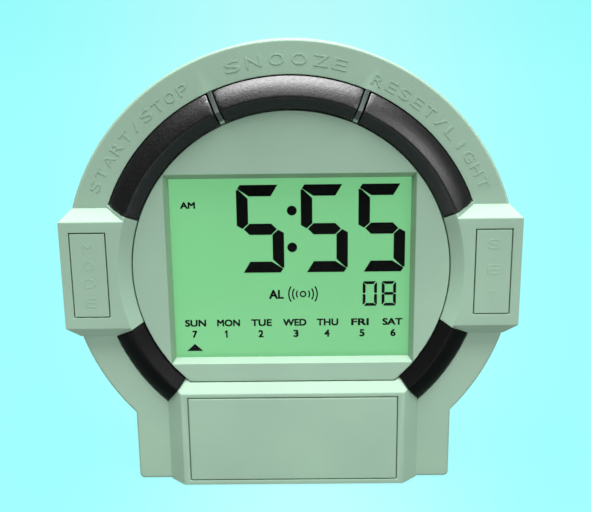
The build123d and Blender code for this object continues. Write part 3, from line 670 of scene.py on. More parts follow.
@dataclass(frozen=True)
class CellJacket(Finish):
    """Printed jacket of a small cell with bare ends and one plain band, turned for each cell.

    Attributes:
        name: the material's name.
        between_cells: height of the face between the two cells.
        start: where the flat end of the upper cell lies along X.
        length: length of a cell.
        jacket_from: share of the length where the bare flat end turns into the dark jacket.
        band_from: share of the length where the jacket turns into the copper band.
        tip_from: share of the length where the band turns into the bare tip.
        flat_end: colour of the flat end.
        jacket: colour of the jacket.
        band: colour of the band.
        tip: colour of the tip.
        shine: how metallic the ends and the band are.
        roughness: how dull the cell is.
        grain: size of the grain in millimetres.
        depth: height of the grain in millimetres.
    """

    name: str = "cell_jacket_banded"
    between_cells: float = -41.6
    start: float = -19.5
    length: float = 44.0
    jacket_from: float = 0.02
    band_from: float = 0.68
    tip_from: float = 0.97
    flat_end: Colour = (186, 188, 190)
    jacket: Colour = (34, 42, 40)
    band: Colour = (196, 150, 74)
    tip: Colour = (190, 192, 194)
    shine: float = 0.9
    roughness: float = 0.3
    grain: float = 1.4
    depth: float = 0.01

    def fill(self, mix: Recipe) -> None:
        """Puts the cell's jacket into a recipe.

        Args:
            mix: the recipe.
        """
        x, y, _ = mix.axes()
        upper = mix.calc("GREATER_THAN", y, self.between_cells)
        along = mix.calc("MULTIPLY", x, mix.choose(upper, -1.0, 1.0))
        share = mix.between(along, self.start, self.start + self.length)
        bands = [(0.0, self.flat_end), (self.jacket_from, self.jacket),
                 (self.band_from, self.band), (self.tip_from, self.tip)]
        mix.feed("Base Color", mix.ramp(share, bands, Change.HARD))
        bare = mix.calc("MAXIMUM", mix.calc("LESS_THAN", share, self.jacket_from),
                        mix.calc("GREATER_THAN", share, self.band_from))
        mix.feed("Metallic", mix.choose(bare, 0.0, self.shine))
        mix.surface(Roughness=self.roughness)
        mix.relief(mix.noise(self.grain, detail=3.0), self.depth)


@dataclass(frozen=True)
class LayeredRubber(Finish):
    """Contact strip of thin black and clear layers side by side.

    Attributes:
        name: the material's name.
        pitch: thickness of a pair of layers in millimetres.
        black_share: share of a pair that is black.
        clear: colour of a clear layer.
        black: colour of a black layer.
        roughness: how dull the rubber is.
        grain: size of the grain in millimetres.
        depth: height of the grain in millimetres.
    """

    name: str = "contact_strip_layers"
    pitch: float = 0.5
    black_share: float = 0.5
    clear: Colour = (206, 210, 204)
    black: Colour = (28, 28, 30)
    roughness: float = 0.6
    grain: float = 0.6
    depth: float = 0.01

    def fill(self, mix: Recipe) -> None:
        """Puts the contact strip into a recipe.

        Args:
            mix: the recipe.
        """
        rest = mix.calc("FRACT", mix.calc("DIVIDE", mix.axes()[0], self.pitch), 0.0)
        layer = mix.calc("LESS_THAN", rest, self.black_share)
        mix.feed("Base Color", mix.blend(layer, self.clear, self.black))
        mix.surface(Roughness=self.roughness)
        mix.relief(mix.noise(self.grain, detail=2.0), self.depth)


@dataclass(frozen=True)
class CappedCeramic(Finish):
    """Small ceramic part with plated ends.

    Attributes:
        name: the material's name.
        row: how far the two rows of parts lie to the sides.
        bare_half: half the length of a part between its plated ends.
        dark_ceramic: colour of the ceramic's dark spots.
        light_ceramic: colour of the ceramic's light spots.
        plating: colour of the plated ends.
        cloud: size of the spots in millimetres.
        shine: how metallic the plated ends are.
        roughness: how dull the part is.
        grain: size of the grain in millimetres.
        depth: height of the grain in millimetres.
    """

    name: str = "small_part_ceramic"
    row: float = 8.5
    bare_half: float = 0.65
    dark_ceramic: Colour = (176, 152, 118)
    light_ceramic: Colour = (196, 172, 138)
    plating: Colour = (200, 202, 200)
    cloud: float = 0.7
    shine: float = 0.9
    roughness: float = 0.4
    grain: float = 0.3
    depth: float = 0.004

    def fill(self, mix: Recipe) -> None:
        """Puts the small part into a recipe.

        Args:
            mix: the recipe.
        """
        reach = mix.calc("ABSOLUTE", mix.axes()[0], 0.0)
        off = mix.calc("ABSOLUTE", mix.calc("SUBTRACT", reach, self.row), 0.0)
        plated = mix.calc("GREATER_THAN", off, self.bare_half)
        cloud = mix.clouds(mix.noise(self.cloud, detail=3.0), self.dark_ceramic,
                           self.light_ceramic)
        mix.feed("Base Color", mix.blend(plated, cloud, self.plating))
        mix.feed("Metallic", mix.choose(plated, 0.0, self.shine))
        mix.surface(Roughness=self.roughness)
        mix.relief(mix.noise(self.grain, detail=2.0), self.depth)


SAGE = MouldedPlastic("sage_moulded_plastic", (147, 178, 157))
SAGE_REAR = MouldedPlastic("sage_rear_plastic", (148, 178, 159), roughness=0.55, depth=0.02)
# Painted shade, with a painted green reflection of the lit cell: the darker, greener sage of the
# display opening's slopes that don't look up.
SAGE_OPENING_PAINTED_SHADE = MouldedPlastic("sage_opening_painted_shade", (124, 161, 129))
# Painted shade: the dark sage of the ribs in the narrow slots between the black buttons.
SAGE_RIB_PAINTED_SHADE = MouldedPlastic("sage_rib_painted_shade", (76, 88, 82))
BLACK_CAP = MouldedPlastic("black_spark_plastic", (9, 9, 9), roughness=0.36, grain=0.55,
                           depth=0.04, drift=0.12, gloss=0.8)
BLACK_TRIM = MouldedPlastic("black_trim_plastic", (10, 10, 10), roughness=0.4, grain=0.55,
                            depth=0.05, drift=0.12, gloss=0.15)
# Painted light: the display cell glows with its own colour, so that it looks evenly lit in its
# recess.
DISPLAY = PaintedGlowDisplay("display_green_cell_painted_glow", (127, 208, 143), glow=0.8)
MARK = MouldedPlastic("display_black_mark", (4, 5, 5), roughness=0.6, depth=0.002, gloss=0.1)
WINDOW = ClearSheet("clear_window_sheet", (16, 22, 18), cover=0.05)
GUIDE = ClearSheet("milky_light_guide", (226, 240, 228), cover=0.55, roughness=0.2)
LAMP = MouldedPlastic("lamp_resin", (240, 236, 196), roughness=0.25, depth=0.004)
WHITE = MouldedPlastic("white_holder_plastic", (224, 226, 220))
SWITCH = MouldedPlastic("switch_plastic", (52, 54, 58), roughness=0.4)
RESIN = MouldedPlastic("chip_resin", (18, 18, 20), roughness=0.22, grain=3.0, depth=0.06)
RUBBER = MouldedPlastic("pad_rubber", (44, 46, 46), roughness=0.8, grain=0.8, depth=0.05)
WIRE = MouldedPlastic("wire_cover", (150, 44, 40), roughness=0.45, grain=1.2)
STEEL = Metal("zinc_plated_steel", (196, 200, 204))
SPRING = Metal("spring_steel", (178, 182, 186), roughness=0.24)
CAN = Metal("crystal_can", (206, 206, 200), roughness=0.2)


def select_only(piece: bpy.types.Object) -> None:
    """Makes one object the active one and the only one selected.

    Args:
        piece: the object.
    """
    bpy.ops.object.select_all(action="DESELECT")
    piece.select_set(True)
    bpy.context.view_layer.objects.active = piece


def finish_piece(piece: bpy.types.Object, material: bpy.types.Material, body: Body) -> None:
    """Dresses a new piece and hands it to the body that it moves with.

    Args:
        piece: the new piece.
        material: its finish.
        body: the body that it moves with.
    """
    piece.data.materials.clear()
    piece.data.materials.append(material)
    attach(piece, body.value)
    LOG.info("%s: %d faces, moves with %s", piece.name, len(piece.data.polygons), body.value)


@dataclass(frozen=True)
class EdgeRound:
    """How a mould rounds the edges of a piece.

    Attributes:
        width: width of the rounding.
        room: how deep both faces beside an edge must be for it to be rounded, in widths.
        segments: faces across the rounding.
        sharper_than: edges that turn by more than this many degrees are rounded.
        flat_within: faces that turn by less than this many degrees are made one first.
        smooth_within: faces that turn by less than this many degrees shade as one surface.
        merged_within: corners that lie nearer than this are made one first.
        most_corners: faces with more corners than this are cut up after the edges are marked.
    """

    width: float = 0.2
    room: float = 2.0
    segments: int = 2
    sharper_than: float = 28.0
    flat_within: float = 0.6
    smooth_within: float = 32.0
    merged_within: float = 0.001
    most_corners: int = 4

    @staticmethod
    def depth_beside(edge: bmesh.types.BMEdge, face: bmesh.types.BMFace) -> float:
        """Tells how far a face reaches away from one of its edges.

        Args:
            edge: the edge.
            face: the face beside it.

        Returns:
            The distance to its farthest corner, in metres.
        """
        start = edge.verts[0].co
        along = (edge.verts[1].co - start).normalized()
        offsets = (vertex.co - start for vertex in face.verts)
        return max((offset - offset.dot(along) * along).length for offset in offsets)

    def mark_edges(self, piece: bpy.types.Object) -> None:
        """Marks the sharp outward edges that have room, then cuts the large faces up.

        Args:
            piece: the piece, whose marked edges are rounded later.
        """
        shape = bmesh.new()
        shape.from_mesh(piece.data)
        weight = shape.edges.layers.float.new("bevel_weight_edge")
        limit = math.radians(self.sharper_than)
        needed = self.room * self.width * MM
        for edge in shape.edges:
            if len(edge.link_faces) != 2 or not edge.is_convex or edge.calc_face_angle() < limit:
                continue
            if all(self.depth_beside(edge, face) > needed for face in edge.link_faces):
                edge[weight] = 1.0
        large = [face for face in shape.faces if len(face.verts) > self.most_corners]
        bmesh.ops.triangulate(shape, faces=large)
        shape.to_mesh(piece.data)
        shape.free()

    def copy_of(self, node: str,
                mend: Callable[[bpy.types.Object], None] | None = None) -> bpy.types.Object:
        """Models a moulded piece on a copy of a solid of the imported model.

        Args:
            node: name of the solid.
            mend: what is done to the copy before its edges are rounded.

        Returns:
            The new piece, which stands for the solid.
        """
        piece = bpy.data.objects.new(f"{node}_moulded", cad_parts[node].data.copy())
        bpy.context.collection.objects.link(piece)
        select_only(piece)
        bpy.ops.mesh.customdata_custom_splitnormals_clear()
        bpy.ops.object.mode_set(mode="EDIT")
        bpy.ops.mesh.select_all(action="SELECT")
        bpy.ops.mesh.remove_doubles(threshold=self.merged_within * MM)
        bpy.ops.object.mode_set(mode="OBJECT")
        if mend:
            mend(piece)
        bpy.ops.object.mode_set(mode="EDIT")
        bpy.ops.mesh.select_all(action="SELECT")
        bpy.ops.mesh.dissolve_limited(angle_limit=math.radians(self.flat_within))
        bpy.ops.object.mode_set(mode="OBJECT")
        self.mark_edges(piece)
        rounding = piece.modifiers.new("rounded edges", "BEVEL")
        rounding.width = self.width * MM
        rounding.segments = self.segments
        rounding.limit_method = "WEIGHT"
        rounding.loop_slide = False
        rounding.use_clamp_overlap = False
        bpy.ops.object.modifier_apply(modifier=rounding.name)
        bpy.ops.object.shade_smooth_by_angle(angle=math.radians(self.smooth_within))
        weighted = piece.modifiers.new("even shading", "WEIGHTED_NORMAL")
        weighted.keep_sharp = True
        bpy.ops.object.modifier_apply(modifier=weighted.name)
        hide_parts(node)
        return piece


def paint_shade_on_faces(piece: bpy.types.Object, material: bpy.types.Material, face: Face,
               chosen: Callable[[Vector, Vector], bool]) -> None:
    """Paints shade on some faces of a piece by giving them a darker finish of their own.

    Args:
        piece: the piece, which already has its main finish.
        material: the darker finish of the chosen faces, which is painted shade.
        face: the face that places and normals are given in.
        chosen: tells from the middle and the normal of a face whether it is chosen.
    """
    piece.data.materials.append(material)
    to_face = face.matrix.inverted()
    for polygon in piece.data.polygons:
        normal = (to_face.to_3x3() @ polygon.normal).normalized()
        if chosen(to_face @ polygon.center, normal):
            polygon.material_index = 1


def paint(node: str, material: bpy.types.Material) -> None:
    """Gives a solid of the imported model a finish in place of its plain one.

    Args:
        node: name of the solid.
        material: the finish.
    """
    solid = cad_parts[node]
    if not solid.material_slots:
        solid.data.materials.append(material)
    for slot in solid.material_slots:
        slot.material = material
    LOG.info("%s: kept, finished in %s", node, material.name)


@dataclass(frozen=True)
class LetterStyle:
    """How solid letters are cut.

    Attributes:
        height: height of a capital.
        width: width of a plain capital.
        thickness: how far the letters stand out.
        weight: how much the strokes are thickened on each side, as a share of the font size.
        rounding: rounding of the strokes' edges, as a share of the font size.
        layer_step: how much lower each further layer of bold letters lies, as such a share.
        half_depth: half the depth in which they are first cut, as such a share.
        curve_steps: faces along one piece of a curved stroke.
        merged_within: corners that lie nearer than this share are made one.
        rounding_steps: faces across the rounding.
        rounded_over: edges that turn by more than this many degrees are rounded.
        smooth_within: faces that turn by less than this many degrees shade as one surface.
    """

    height: float
    width: float
    thickness: float
    weight: float = 0.0
    rounding: float = 0.0
    layer_step: float = 0.004
    half_depth: float = 0.1
    curve_steps: int = 5
    merged_within: float = 1e-5
    rounding_steps: int = 2
    rounded_over: float = 50.0
    smooth_within: float = 35.0

    def embolden(self, item: bpy.types.Object) -> None:
        """Thickens the strokes of letters with copies a little aside, each a little lower.

        Args:
            item: the letters, which take the copies in.
        """
        steps = [(x, y) for x in (-self.weight, self.weight) for y in (-self.weight, self.weight)]
        copies = [item]
        for layer, (x, y) in enumerate(steps, start=1):
            copy = bpy.data.objects.new("bold", item.data.copy())
            copy.data.transform(Matrix.Translation((x, y, -layer * self.layer_step)))
            bpy.context.collection.objects.link(copy)
            copies.append(copy)
        join(copies, item.name)

    def solid(self, text: str) -> bpy.types.Object:
        """Makes the letters as a closed mesh about one metre high, lying at the origin.

        Args:
            text: the letters.

        Returns:
            The letters as one piece.
        """
        bpy.ops.object.select_all(action="DESELECT")
        bpy.ops.object.text_add()
        item = bpy.context.active_object
        item.data.body = text
        item.data.extrude = self.half_depth
        item.data.resolution_u = self.curve_steps
        bpy.ops.object.convert(target="MESH")
        bpy.ops.object.mode_set(mode="EDIT")
        bpy.ops.mesh.select_all(action="SELECT")
        bpy.ops.mesh.remove_doubles(threshold=self.merged_within)
        bpy.ops.mesh.normals_make_consistent(inside=False)
        bpy.ops.object.mode_set(mode="OBJECT")
        if self.weight:
            self.embolden(item)
        if self.rounding:
            rounding = item.modifiers.new("rounded strokes", "BEVEL")
            rounding.width = self.rounding
            rounding.segments = self.rounding_steps
            rounding.limit_method = "ANGLE"
            rounding.angle_limit = math.radians(self.rounded_over)
            rounding.use_clamp_overlap = False
            bpy.ops.object.modifier_apply(modifier=rounding.name)
        bpy.ops.object.shade_smooth_by_angle(angle=math.radians(self.smooth_within))
        return item

    def fitted(self, text: str, width: float, place: Matrix) -> bpy.types.Object:
        """Makes letters, stretches them to a width and this style's height, and places them.

        Args:
            text: the letters.
            width: width of them all.
            place: turns their own frame, in which they stand on Z 0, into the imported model's.

        Returns:
            The placed letters.
        """
        item = self.solid(text)
        xs, ys, zs = zip(*(vertex.co for vertex in item.data.vertices))
        middle = Vector(((min(xs) + max(xs)) / 2, (min(ys) + max(ys)) / 2, min(zs)))
        stretch = Matrix.Diagonal((width / (max(xs) - min(xs)), self.height / (max(ys) - min(ys)),
                                   self.thickness / (max(zs) - min(zs)), 1.0))
        item.data.transform(place @ stretch @ Matrix.Translation(-middle))
        return item


def join(pieces: list[bpy.types.Object], name: str) -> bpy.types.Object:
    """Joins pieces into one.

    Args:
        pieces: the pieces.
        name: name of the joined piece.

    Returns:
        The joined piece.
    """
    select_only(pieces[0])
    for piece in pieces:
        piece.select_set(True)
    bpy.ops.object.join()
    joined = bpy.context.active_object
    joined.name = name
    return joined


@dataclass(frozen=True)
class RingRounding:
    """The outer rounding of the ring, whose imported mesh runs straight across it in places.

    Attributes:
        radius: outer radius of the ring.
        rounding: radius of the rounding.
        play: how far off the rounding a corner that lies on it may be.
        sag: how far inside the rounding the middle of an edge may lie.
        cuts: how often an edge that lies deeper is cut.
    """

    radius: float = 57.0
    rounding: float = 0.7
    play: float = 0.02
    sag: float = 0.05
    cuts: int = 5

    def spread(self, place: Vector) -> tuple[float, float]:
        """How far out and up a place of the face lies from the middle of the rounding."""
        reach = math.hypot(place.x, place.y)
        return reach - self.radius + self.rounding, place.z + self.rounding

    def depth(self, place: Vector) -> float:
        """Tells how far a place lies inside the rounding.

        Args:
            place: the place on the face.

        Returns:
            The distance to the rounding, or the ring's whole radius where the place is elsewhere.
        """
        out, up = self.spread(place)
        if min(out, up) < -self.play:
            return self.radius
        return self.rounding - math.hypot(out, up)

    def bowed(self, place: Vector) -> Vector:
        """Finds the place on the rounding that lies straight over a place inside it.

        Args:
            place: the place inside.

        Returns:
            The place on the rounding.
        """
        out, up = self.spread(place)
        stretch = self.rounding / math.hypot(out, up)
        reach = self.radius - self.rounding + out * stretch
        aside = reach / math.hypot(place.x, place.y)
        return Vector((place.x * aside, place.y * aside, up * stretch - self.rounding))

    def true_up(self, piece: bpy.types.Object, face: Face) -> None:
        """Cuts the edges that run straight across the rounding and bows them out to it.

        Args:
            piece: the copy of the front shell.
            face: the face that the ring stands on.
        """
        to_face = face.matrix.inverted()
        shape = bmesh.new()
        shape.from_mesh(piece.data)
        low = []
        for edge in shape.edges:
            first, last = (to_face @ vertex.co for vertex in edge.verts)
            on_it = max(abs(self.depth(first)), abs(self.depth(last))) < self.play
            if on_it and self.sag < self.depth((first + last) / 2) < self.rounding:
                low.append(edge)
        cut = bmesh.ops.subdivide_edges(shape, edges=low, cuts=self.cuts)
        for item in cut["geom_inner"]:
            if isinstance(item, bmesh.types.BMVert):
                item.co = face.matrix @ self.bowed(to_face @ item.co)
        shape.to_mesh(piece.data)
        shape.free()
        LOG.info("%s: %d straight edges bowed out", piece.name, len(low))


@dataclass
class CaseShells:
    """The sage shells, their base panel, the battery door and the two fixed black trims.

    Attributes:
        shell_edge: how the edges of the shells and the door are rounded.
        panel_edge: how the edges of the base panel are rounded.
        trim_edge: how the edges of the trims are rounded.
        ring: the outer rounding of the ring.
        rib_angle: how far a rib between two buttons lies to the side of +Y, in degrees.
        rib_half: half the width of a rib.
        rib_inner: radius of the inner end of a rib.
        rib_outer: radius of the outer end of a rib.
        rib_depth: how far behind the ring's front plane a rib starts.
    """

    shell_edge: EdgeRound = EdgeRound(width=0.22)
    panel_edge: EdgeRound = EdgeRound(width=0.12)
    trim_edge: EdgeRound = EdgeRound(width=0.3)
    ring: RingRounding = RingRounding()
    rib_angle: float = 23.3
    rib_half: float = 0.7
    rib_inner: float = 42.0
    rib_outer: float = 49.8
    rib_depth: float = 6.0

    def on_rib(self, place: Vector, _normal: Vector) -> bool:
        """Tells whether a face belongs to one of the two ribs between the three buttons, which
        are painted dark as shade.

        Args:
            place: the middle of the face.
            _normal: its normal, which makes no difference here.

        Returns:
            Whether it does.
        """
        turn = math.radians(90 - self.rib_angle)
        across = abs(place.x) * math.sin(turn) - place.y * math.cos(turn)
        along = self.rib_inner < math.hypot(place.x, place.y) < self.rib_outer
        in_front = place.y > 0 and place.z > -self.rib_depth
        return abs(across) < self.rib_half and along and in_front

    def build(self, face: Face) -> None:
        """Models and dresses the shells.

        Args:
            face: the face that their sizes are given in.
        """
        def mend(piece: bpy.types.Object) -> None:
            """Gives the copied ring its true outer rounding."""
            self.ring.true_up(piece, face)

        sage = SAGE.material(face)
        rear = SAGE_REAR.material(face)
        black = BLACK_TRIM.material(face)
        front = self.shell_edge.copy_of("front_case", mend)
        finish_piece(front, sage, Body.CASE)
        # Painted shade: the ribs between the buttons are coloured dark.
        paint_shade_on_faces(front, SAGE_RIB_PAINTED_SHADE.material(face), face, self.on_rib)
        finish_piece(self.shell_edge.copy_of("rear_case"), rear, Body.CASE)
        finish_piece(self.panel_edge.copy_of("base_panel"), sage, Body.CASE)
        finish_piece(self.shell_edge.copy_of("battery_door"), rear, Body.DOOR)
        for trim in ("lower_trim_left", "lower_trim_right"):
            finish_piece(self.trim_edge.copy_of(trim), black, Body.CASE)


@dataclass(frozen=True)
class RingWord:
    """A word that runs round the ring, with its letters' places.

    Attributes:
        text: the letters.
        angles: angle of each letter from +X, in degrees.
        first_radius: radius of the first letter's middle.
        last_radius: radius of the last letter's middle.
        style: how the letters are cut.
    """

    text: str
    angles: tuple[float, ...]
    first_radius: float
    last_radius: float
    style: LetterStyle


def even_steps(first: float, last: float, count: int) -> tuple[float, ...]:
    """Values at even steps from a first to a last one."""
    return tuple(first + (last - first) * step / (count - 1) for step in range(count))


@dataclass
class PushButtons:
    """The three curved black buttons and the raised words over them on the ring.

    Attributes:
        edge: how the edges of the buttons are rounded.
        wide: letters with room between them.
        close: letters that stand close together.
        narrow: signs that are narrower than a plain capital, with their share of its width.
        sunk: how deep the letters go into the ring.
    """

    edge: EdgeRound = EdgeRound(width=0.3)
    wide: LetterStyle = LetterStyle(height=2.7, width=3.7, thickness=0.12, rounding=0.012)
    close: LetterStyle = LetterStyle(height=2.6, width=2.7, thickness=0.12, rounding=0.012)
    narrow: dict[str, float] = field(default_factory=lambda: {"/": 0.75, "I": 0.3})
    sunk: float = 0.02

    def words(self) -> dict[str, RingWord]:
        """Lists the generic words of the three buttons.

        Returns:
            The words by the name of their piece.
        """
        return {
            "word_start_stop": RingWord("START/STOP", even_steps(155.6, 119.5, 10),
                                        53.0, 52.0, self.close),
            "word_snooze": RingWord("SNOOZE", (104.9, 99.2, 93.1, 87.1, 81.3, 76.3),
                                    52.3, 52.3, self.wide),
            "word_reset_light": RingWord("RESET/LIGHT", even_steps(65.3, 24.5, 11),
                                         51.6, 52.6, self.close),
        }

    def ring_word(self, face: Face, word: RingWord, name: str) -> bpy.types.Object:
        """Cuts one word letter by letter and stands each letter on the ring.

        Args:
            face: the face that the ring stands on.
            word: the word.
            name: name of the joined piece.

        Returns:
            The joined letters.
        """
        radii = even_steps(word.first_radius, word.last_radius, len(word.text))
        letters = []
        for letter, angle, radius in zip(word.text, word.angles, radii):
            turn = math.radians(angle)
            spot = (radius * math.cos(turn), radius * math.sin(turn), -self.sunk)
            place = (face.matrix @ Matrix.Translation(spot)
                     @ Matrix.Rotation(turn - math.pi / 2, 4, "Z"))
            width = word.style.width * self.narrow.get(letter, 1.0)
            letters.append(word.style.fitted(letter, width, place))
        return join(letters, name)

    def build(self, face: Face) -> None:
        """Models and dresses the buttons and their words.

        Args:
            face: the face that their sizes are given in.
        """
        black = BLACK_CAP.material(face)
        for body in (Body.START, Body.SNOOZE, Body.RESET):
            finish_piece(self.edge.copy_of(body.value), black, body)
        sage = SAGE.material(face)
        for name, word in self.words().items():
            finish_piece(self.ring_word(face, word, name), sage, Body.CASE)


@dataclass
class SideKeys:
    """The two rectangular keys in the ears, each with a stacked generic word.

    Attributes:
        edge: how the edges of the keys are rounded.
        style: how the letters are cut.
        middle_x: how far the middle of a key lies to the side.
        front: how far the front of a key stands before the ring's front plane.
        sunk: how deep the letters go into the key.
        left_word: the word of the left key.
        left_heights: height of each of its letters.
        right_word: the word of the right key.
        right_heights: height of each of its letters.
    """

    edge: EdgeRound = EdgeRound(width=0.15)
    style: LetterStyle = LetterStyle(height=2.5, width=2.9, thickness=0.07, rounding=0.01)
    middle_x: float = 50.6
    front: float = 3.1
    sunk: float = 0.02
    left_word: str = "MODE"
    left_heights: tuple[float, ...] = (6.9, 2.3, -2.3, -7.4)
    right_word: str = "SET"
    right_heights: tuple[float, ...] = (6.9, 0.4, -6.3)

    def stacked(self, face: Face, side: Side, text: str, heights: tuple[float, ...],
                name: str) -> bpy.types.Object:
        """Cuts the letters of a key one below the other.

        Args:
            face: the face that the key lies in.
            side: the side of the clock.
            text: the letters, from the top down.
            heights: height of each letter's middle on the face.
            name: name of the joined piece.

        Returns:
            The joined letters.
        """
        letters = []
        for letter, height in zip(text, heights):
            spot = (side.value * self.middle_x, height, self.front - self.sunk)
            place = face.matrix @ Matrix.Translation(spot)
            letters.append(self.style.fitted(letter, self.style.width, place))
        return join(letters, name)

    def build(self, face: Face) -> None:
        """Models and dresses the keys and their words.

        Args:
            face: the face that their sizes are given in.
        """
        sage = SAGE.material(face)
        for side, body, text, heights in (
                (Side.LEFT, Body.LEFT_KEY, self.left_word, self.left_heights),
                (Side.RIGHT, Body.RIGHT_KEY, self.right_word, self.right_heights)):
            finish_piece(self.edge.copy_of(body.value), sage, body)
            word = self.stacked(face, side, text, heights, f"{body.value}_word")
            finish_piece(word, sage, body)


@dataclass(frozen=True)
class PrintedWord:
    """A word of the display with the box that it fills.

    Attributes:
        text: the letters.
        middle: X of its middle.
        width: width of the word.
        bottom: Y of its lower edge.
        top: Y of its upper edge.
    """

    text: str
    middle: float
    width: float
    bottom: float
    top: float


@dataclass
class Display:
    """The dial plate with its window, the display cell behind it and the words on the cell.

    Attributes:
        edge: how the edges of the dial plate are rounded.
        cell_front: Z of the front of the display cell.
        opening_half: X up to which the slopes of the display opening reach.
        opening_reach: Y up to which they reach.
        slope_low: Z over which they lie.
        slope_high: Z under which they lie.
        flat_front: Z of a normal from which a face counts as flat.
        lit_slope: Y of a normal from which a slope looks up and keeps the plate's colour; the
            slopes below it are painted darker and greener as shade.
        ink: how far the words stand before the cell.
        weight: how much their strokes are thickened, as a share of the font size.
        day_bottom: Y of the lower edge of the day names.
        day_top: Y of their upper edge.
        number_bottom: Y of the lower edge of the day numbers.
        number_top: Y of their upper edge.
        days: the day names, each with its middle and its width.
        numbers: the day numbers, each with its middle and its width.
        flag_of_one: middle, width and lower edge of the slanted stroke of the number 1.
    """

    edge: EdgeRound = EdgeRound(width=0.15)
    cell_front: float = -2.4
    opening_half: float = 31.5
    opening_reach: float = 25.3
    slope_low: float = -1.25
    slope_high: float = 0.79
    flat_front: float = 0.98
    lit_slope: float = 0.3
    ink: float = 0.04
    weight: float = 0.034
    day_bottom: float = -15.9
    day_top: float = -14.0
    number_bottom: float = -19.0
    number_top: float = -17.0
    days: tuple[tuple[str, float, float], ...] = (
        ("SUN", -25.1, 5.5), ("MON", -16.5, 6.0), ("TUE", -7.9, 5.4), ("WED", 0.76, 6.1),
        ("THU", 9.3, 5.6), ("FRI", 17.75, 4.6), ("SAT", 26.2, 5.2))
    numbers: tuple[tuple[str, float, float], ...] = (
        ("7", -25.4, 1.3), ("1", -17.05, 0.42), ("2", -8.1, 1.35), ("3", 1.05, 1.35),
        ("4", 9.15, 1.45), ("5", 18.3, 1.35), ("6", 26.4, 1.35))
    flag_of_one: tuple[float, float, float] = (-17.38, 0.6, -17.75)

    def words(self) -> list[PrintedWord]:
        """Lists the words and numbers of the display that aren't made of segments.

        Returns:
            The words with their boxes.
        """
        row = [PrintedWord("AM", middle=-25.9, width=3.8, bottom=15.5, top=17.2),
               PrintedWord("AL", middle=-3.9, width=3.8, bottom=-8.5, top=-6.1)]
        row += [PrintedWord(text, middle, width, self.day_bottom, self.day_top)
                for text, middle, width in self.days]
        row += [PrintedWord(text, middle, width, self.number_bottom, self.number_top)
                for text, middle, width in self.numbers]
        row.append(PrintedWord("/", *self.flag_of_one, self.number_top))
        return row

    def printed(self, face: Face) -> bpy.types.Object:
        """Lays the words on the front of the display cell.

        Args:
            face: the face that their places are given in.

        Returns:
            The joined words.
        """
        items = []
        for word in self.words():
            style = LetterStyle(height=word.top - word.bottom, width=word.width,
                                thickness=self.ink, weight=self.weight)
            spot = (word.middle, (word.top + word.bottom) / 2, self.cell_front)
            items.append(style.fitted(word.text, word.width,
                                      face.matrix @ Matrix.Translation(spot)))
        return join(items, "display_words")

    def shaded_slope(self, place: Vector, normal: Vector) -> bool:
        """Tells whether a face is a slope beside or over the display opening that is painted as
        shade.

        Args:
            place: the middle of the face.
            normal: its normal.

        Returns:
            Whether it is.
        """
        in_opening = abs(place.x) < self.opening_half and abs(place.y) < self.opening_reach
        sloped = self.slope_low < place.z < self.slope_high and normal.z < self.flat_front
        return in_opening and sloped and normal.y < self.lit_slope

    def build(self, face: Face) -> None:
        """Models and dresses the display and all that carries it.

        Args:
            face: the face that its sizes are given in.
        """
        plate = self.edge.copy_of("dial_plate")
        finish_piece(plate, SAGE.material(face), Body.CASE)
        # Painted shade, with a painted reflection of the cell's green, on the opening's slopes
        # that don't look up.
        paint_shade_on_faces(plate, SAGE_OPENING_PAINTED_SHADE.material(face), face, self.shaded_slope)
        mark = MARK.material(face)
        finish_piece(self.printed(face), mark, Body.CASE)
        paint("display_segments", mark)
        # Painted light: the display cell glows.
        paint("lcd_glass", DISPLAY.material(face))
        paint("display_window", WINDOW.material(face))
        paint("light_guide", GUIDE.material(face))
        paint("backlight_led", LAMP.material(face))
        paint("lcd_holder", WHITE.material(face))
        paint("zebra_strip", LayeredRubber().material(face))


@dataclass
class Works:
    """The board and its parts, the buzzer, the cells with their contacts, and the fixings.

    Attributes:
        steel_nodes: the solids of zinc plated steel.
        spring_nodes: the solids of spring steel.
        wire_nodes: the leads.
    """

    steel_nodes: tuple[str, ...] = ("case_screws", "dial_screws", "board_screws",
                                    "battery_plates")
    spring_nodes: tuple[str, ...] = ("return_springs", "battery_springs")
    wire_nodes: tuple[str, ...] = ("battery_leads", "buzzer_leads")

    def build(self, face: Face) -> None:
        """Dresses every inner solid that keeps its shape, and the rubber feet.

        Args:
            face: the face whose millimetres the finishes are measured in.
        """
        paint("circuit_board", LacqueredBoard().material(face))
        paint("controller_chip", RESIN.material(face))
        paint("watch_crystal", CAN.material(face))
        paint("chip_parts", CappedCeramic().material(face))
        paint("switches", SWITCH.material(face))
        paint("buzzer", SoundDisc().material(face))
        paint("battery_cells", CellJacket().material(face))
        paint("rubber_feet", RUBBER.material(face))
        for finish, nodes in ((STEEL, self.steel_nodes), (SPRING, self.spring_nodes),
                              (WIRE, self.wire_nodes)):
            material = finish.material(face)
            for node in nodes:
                paint(node, material)


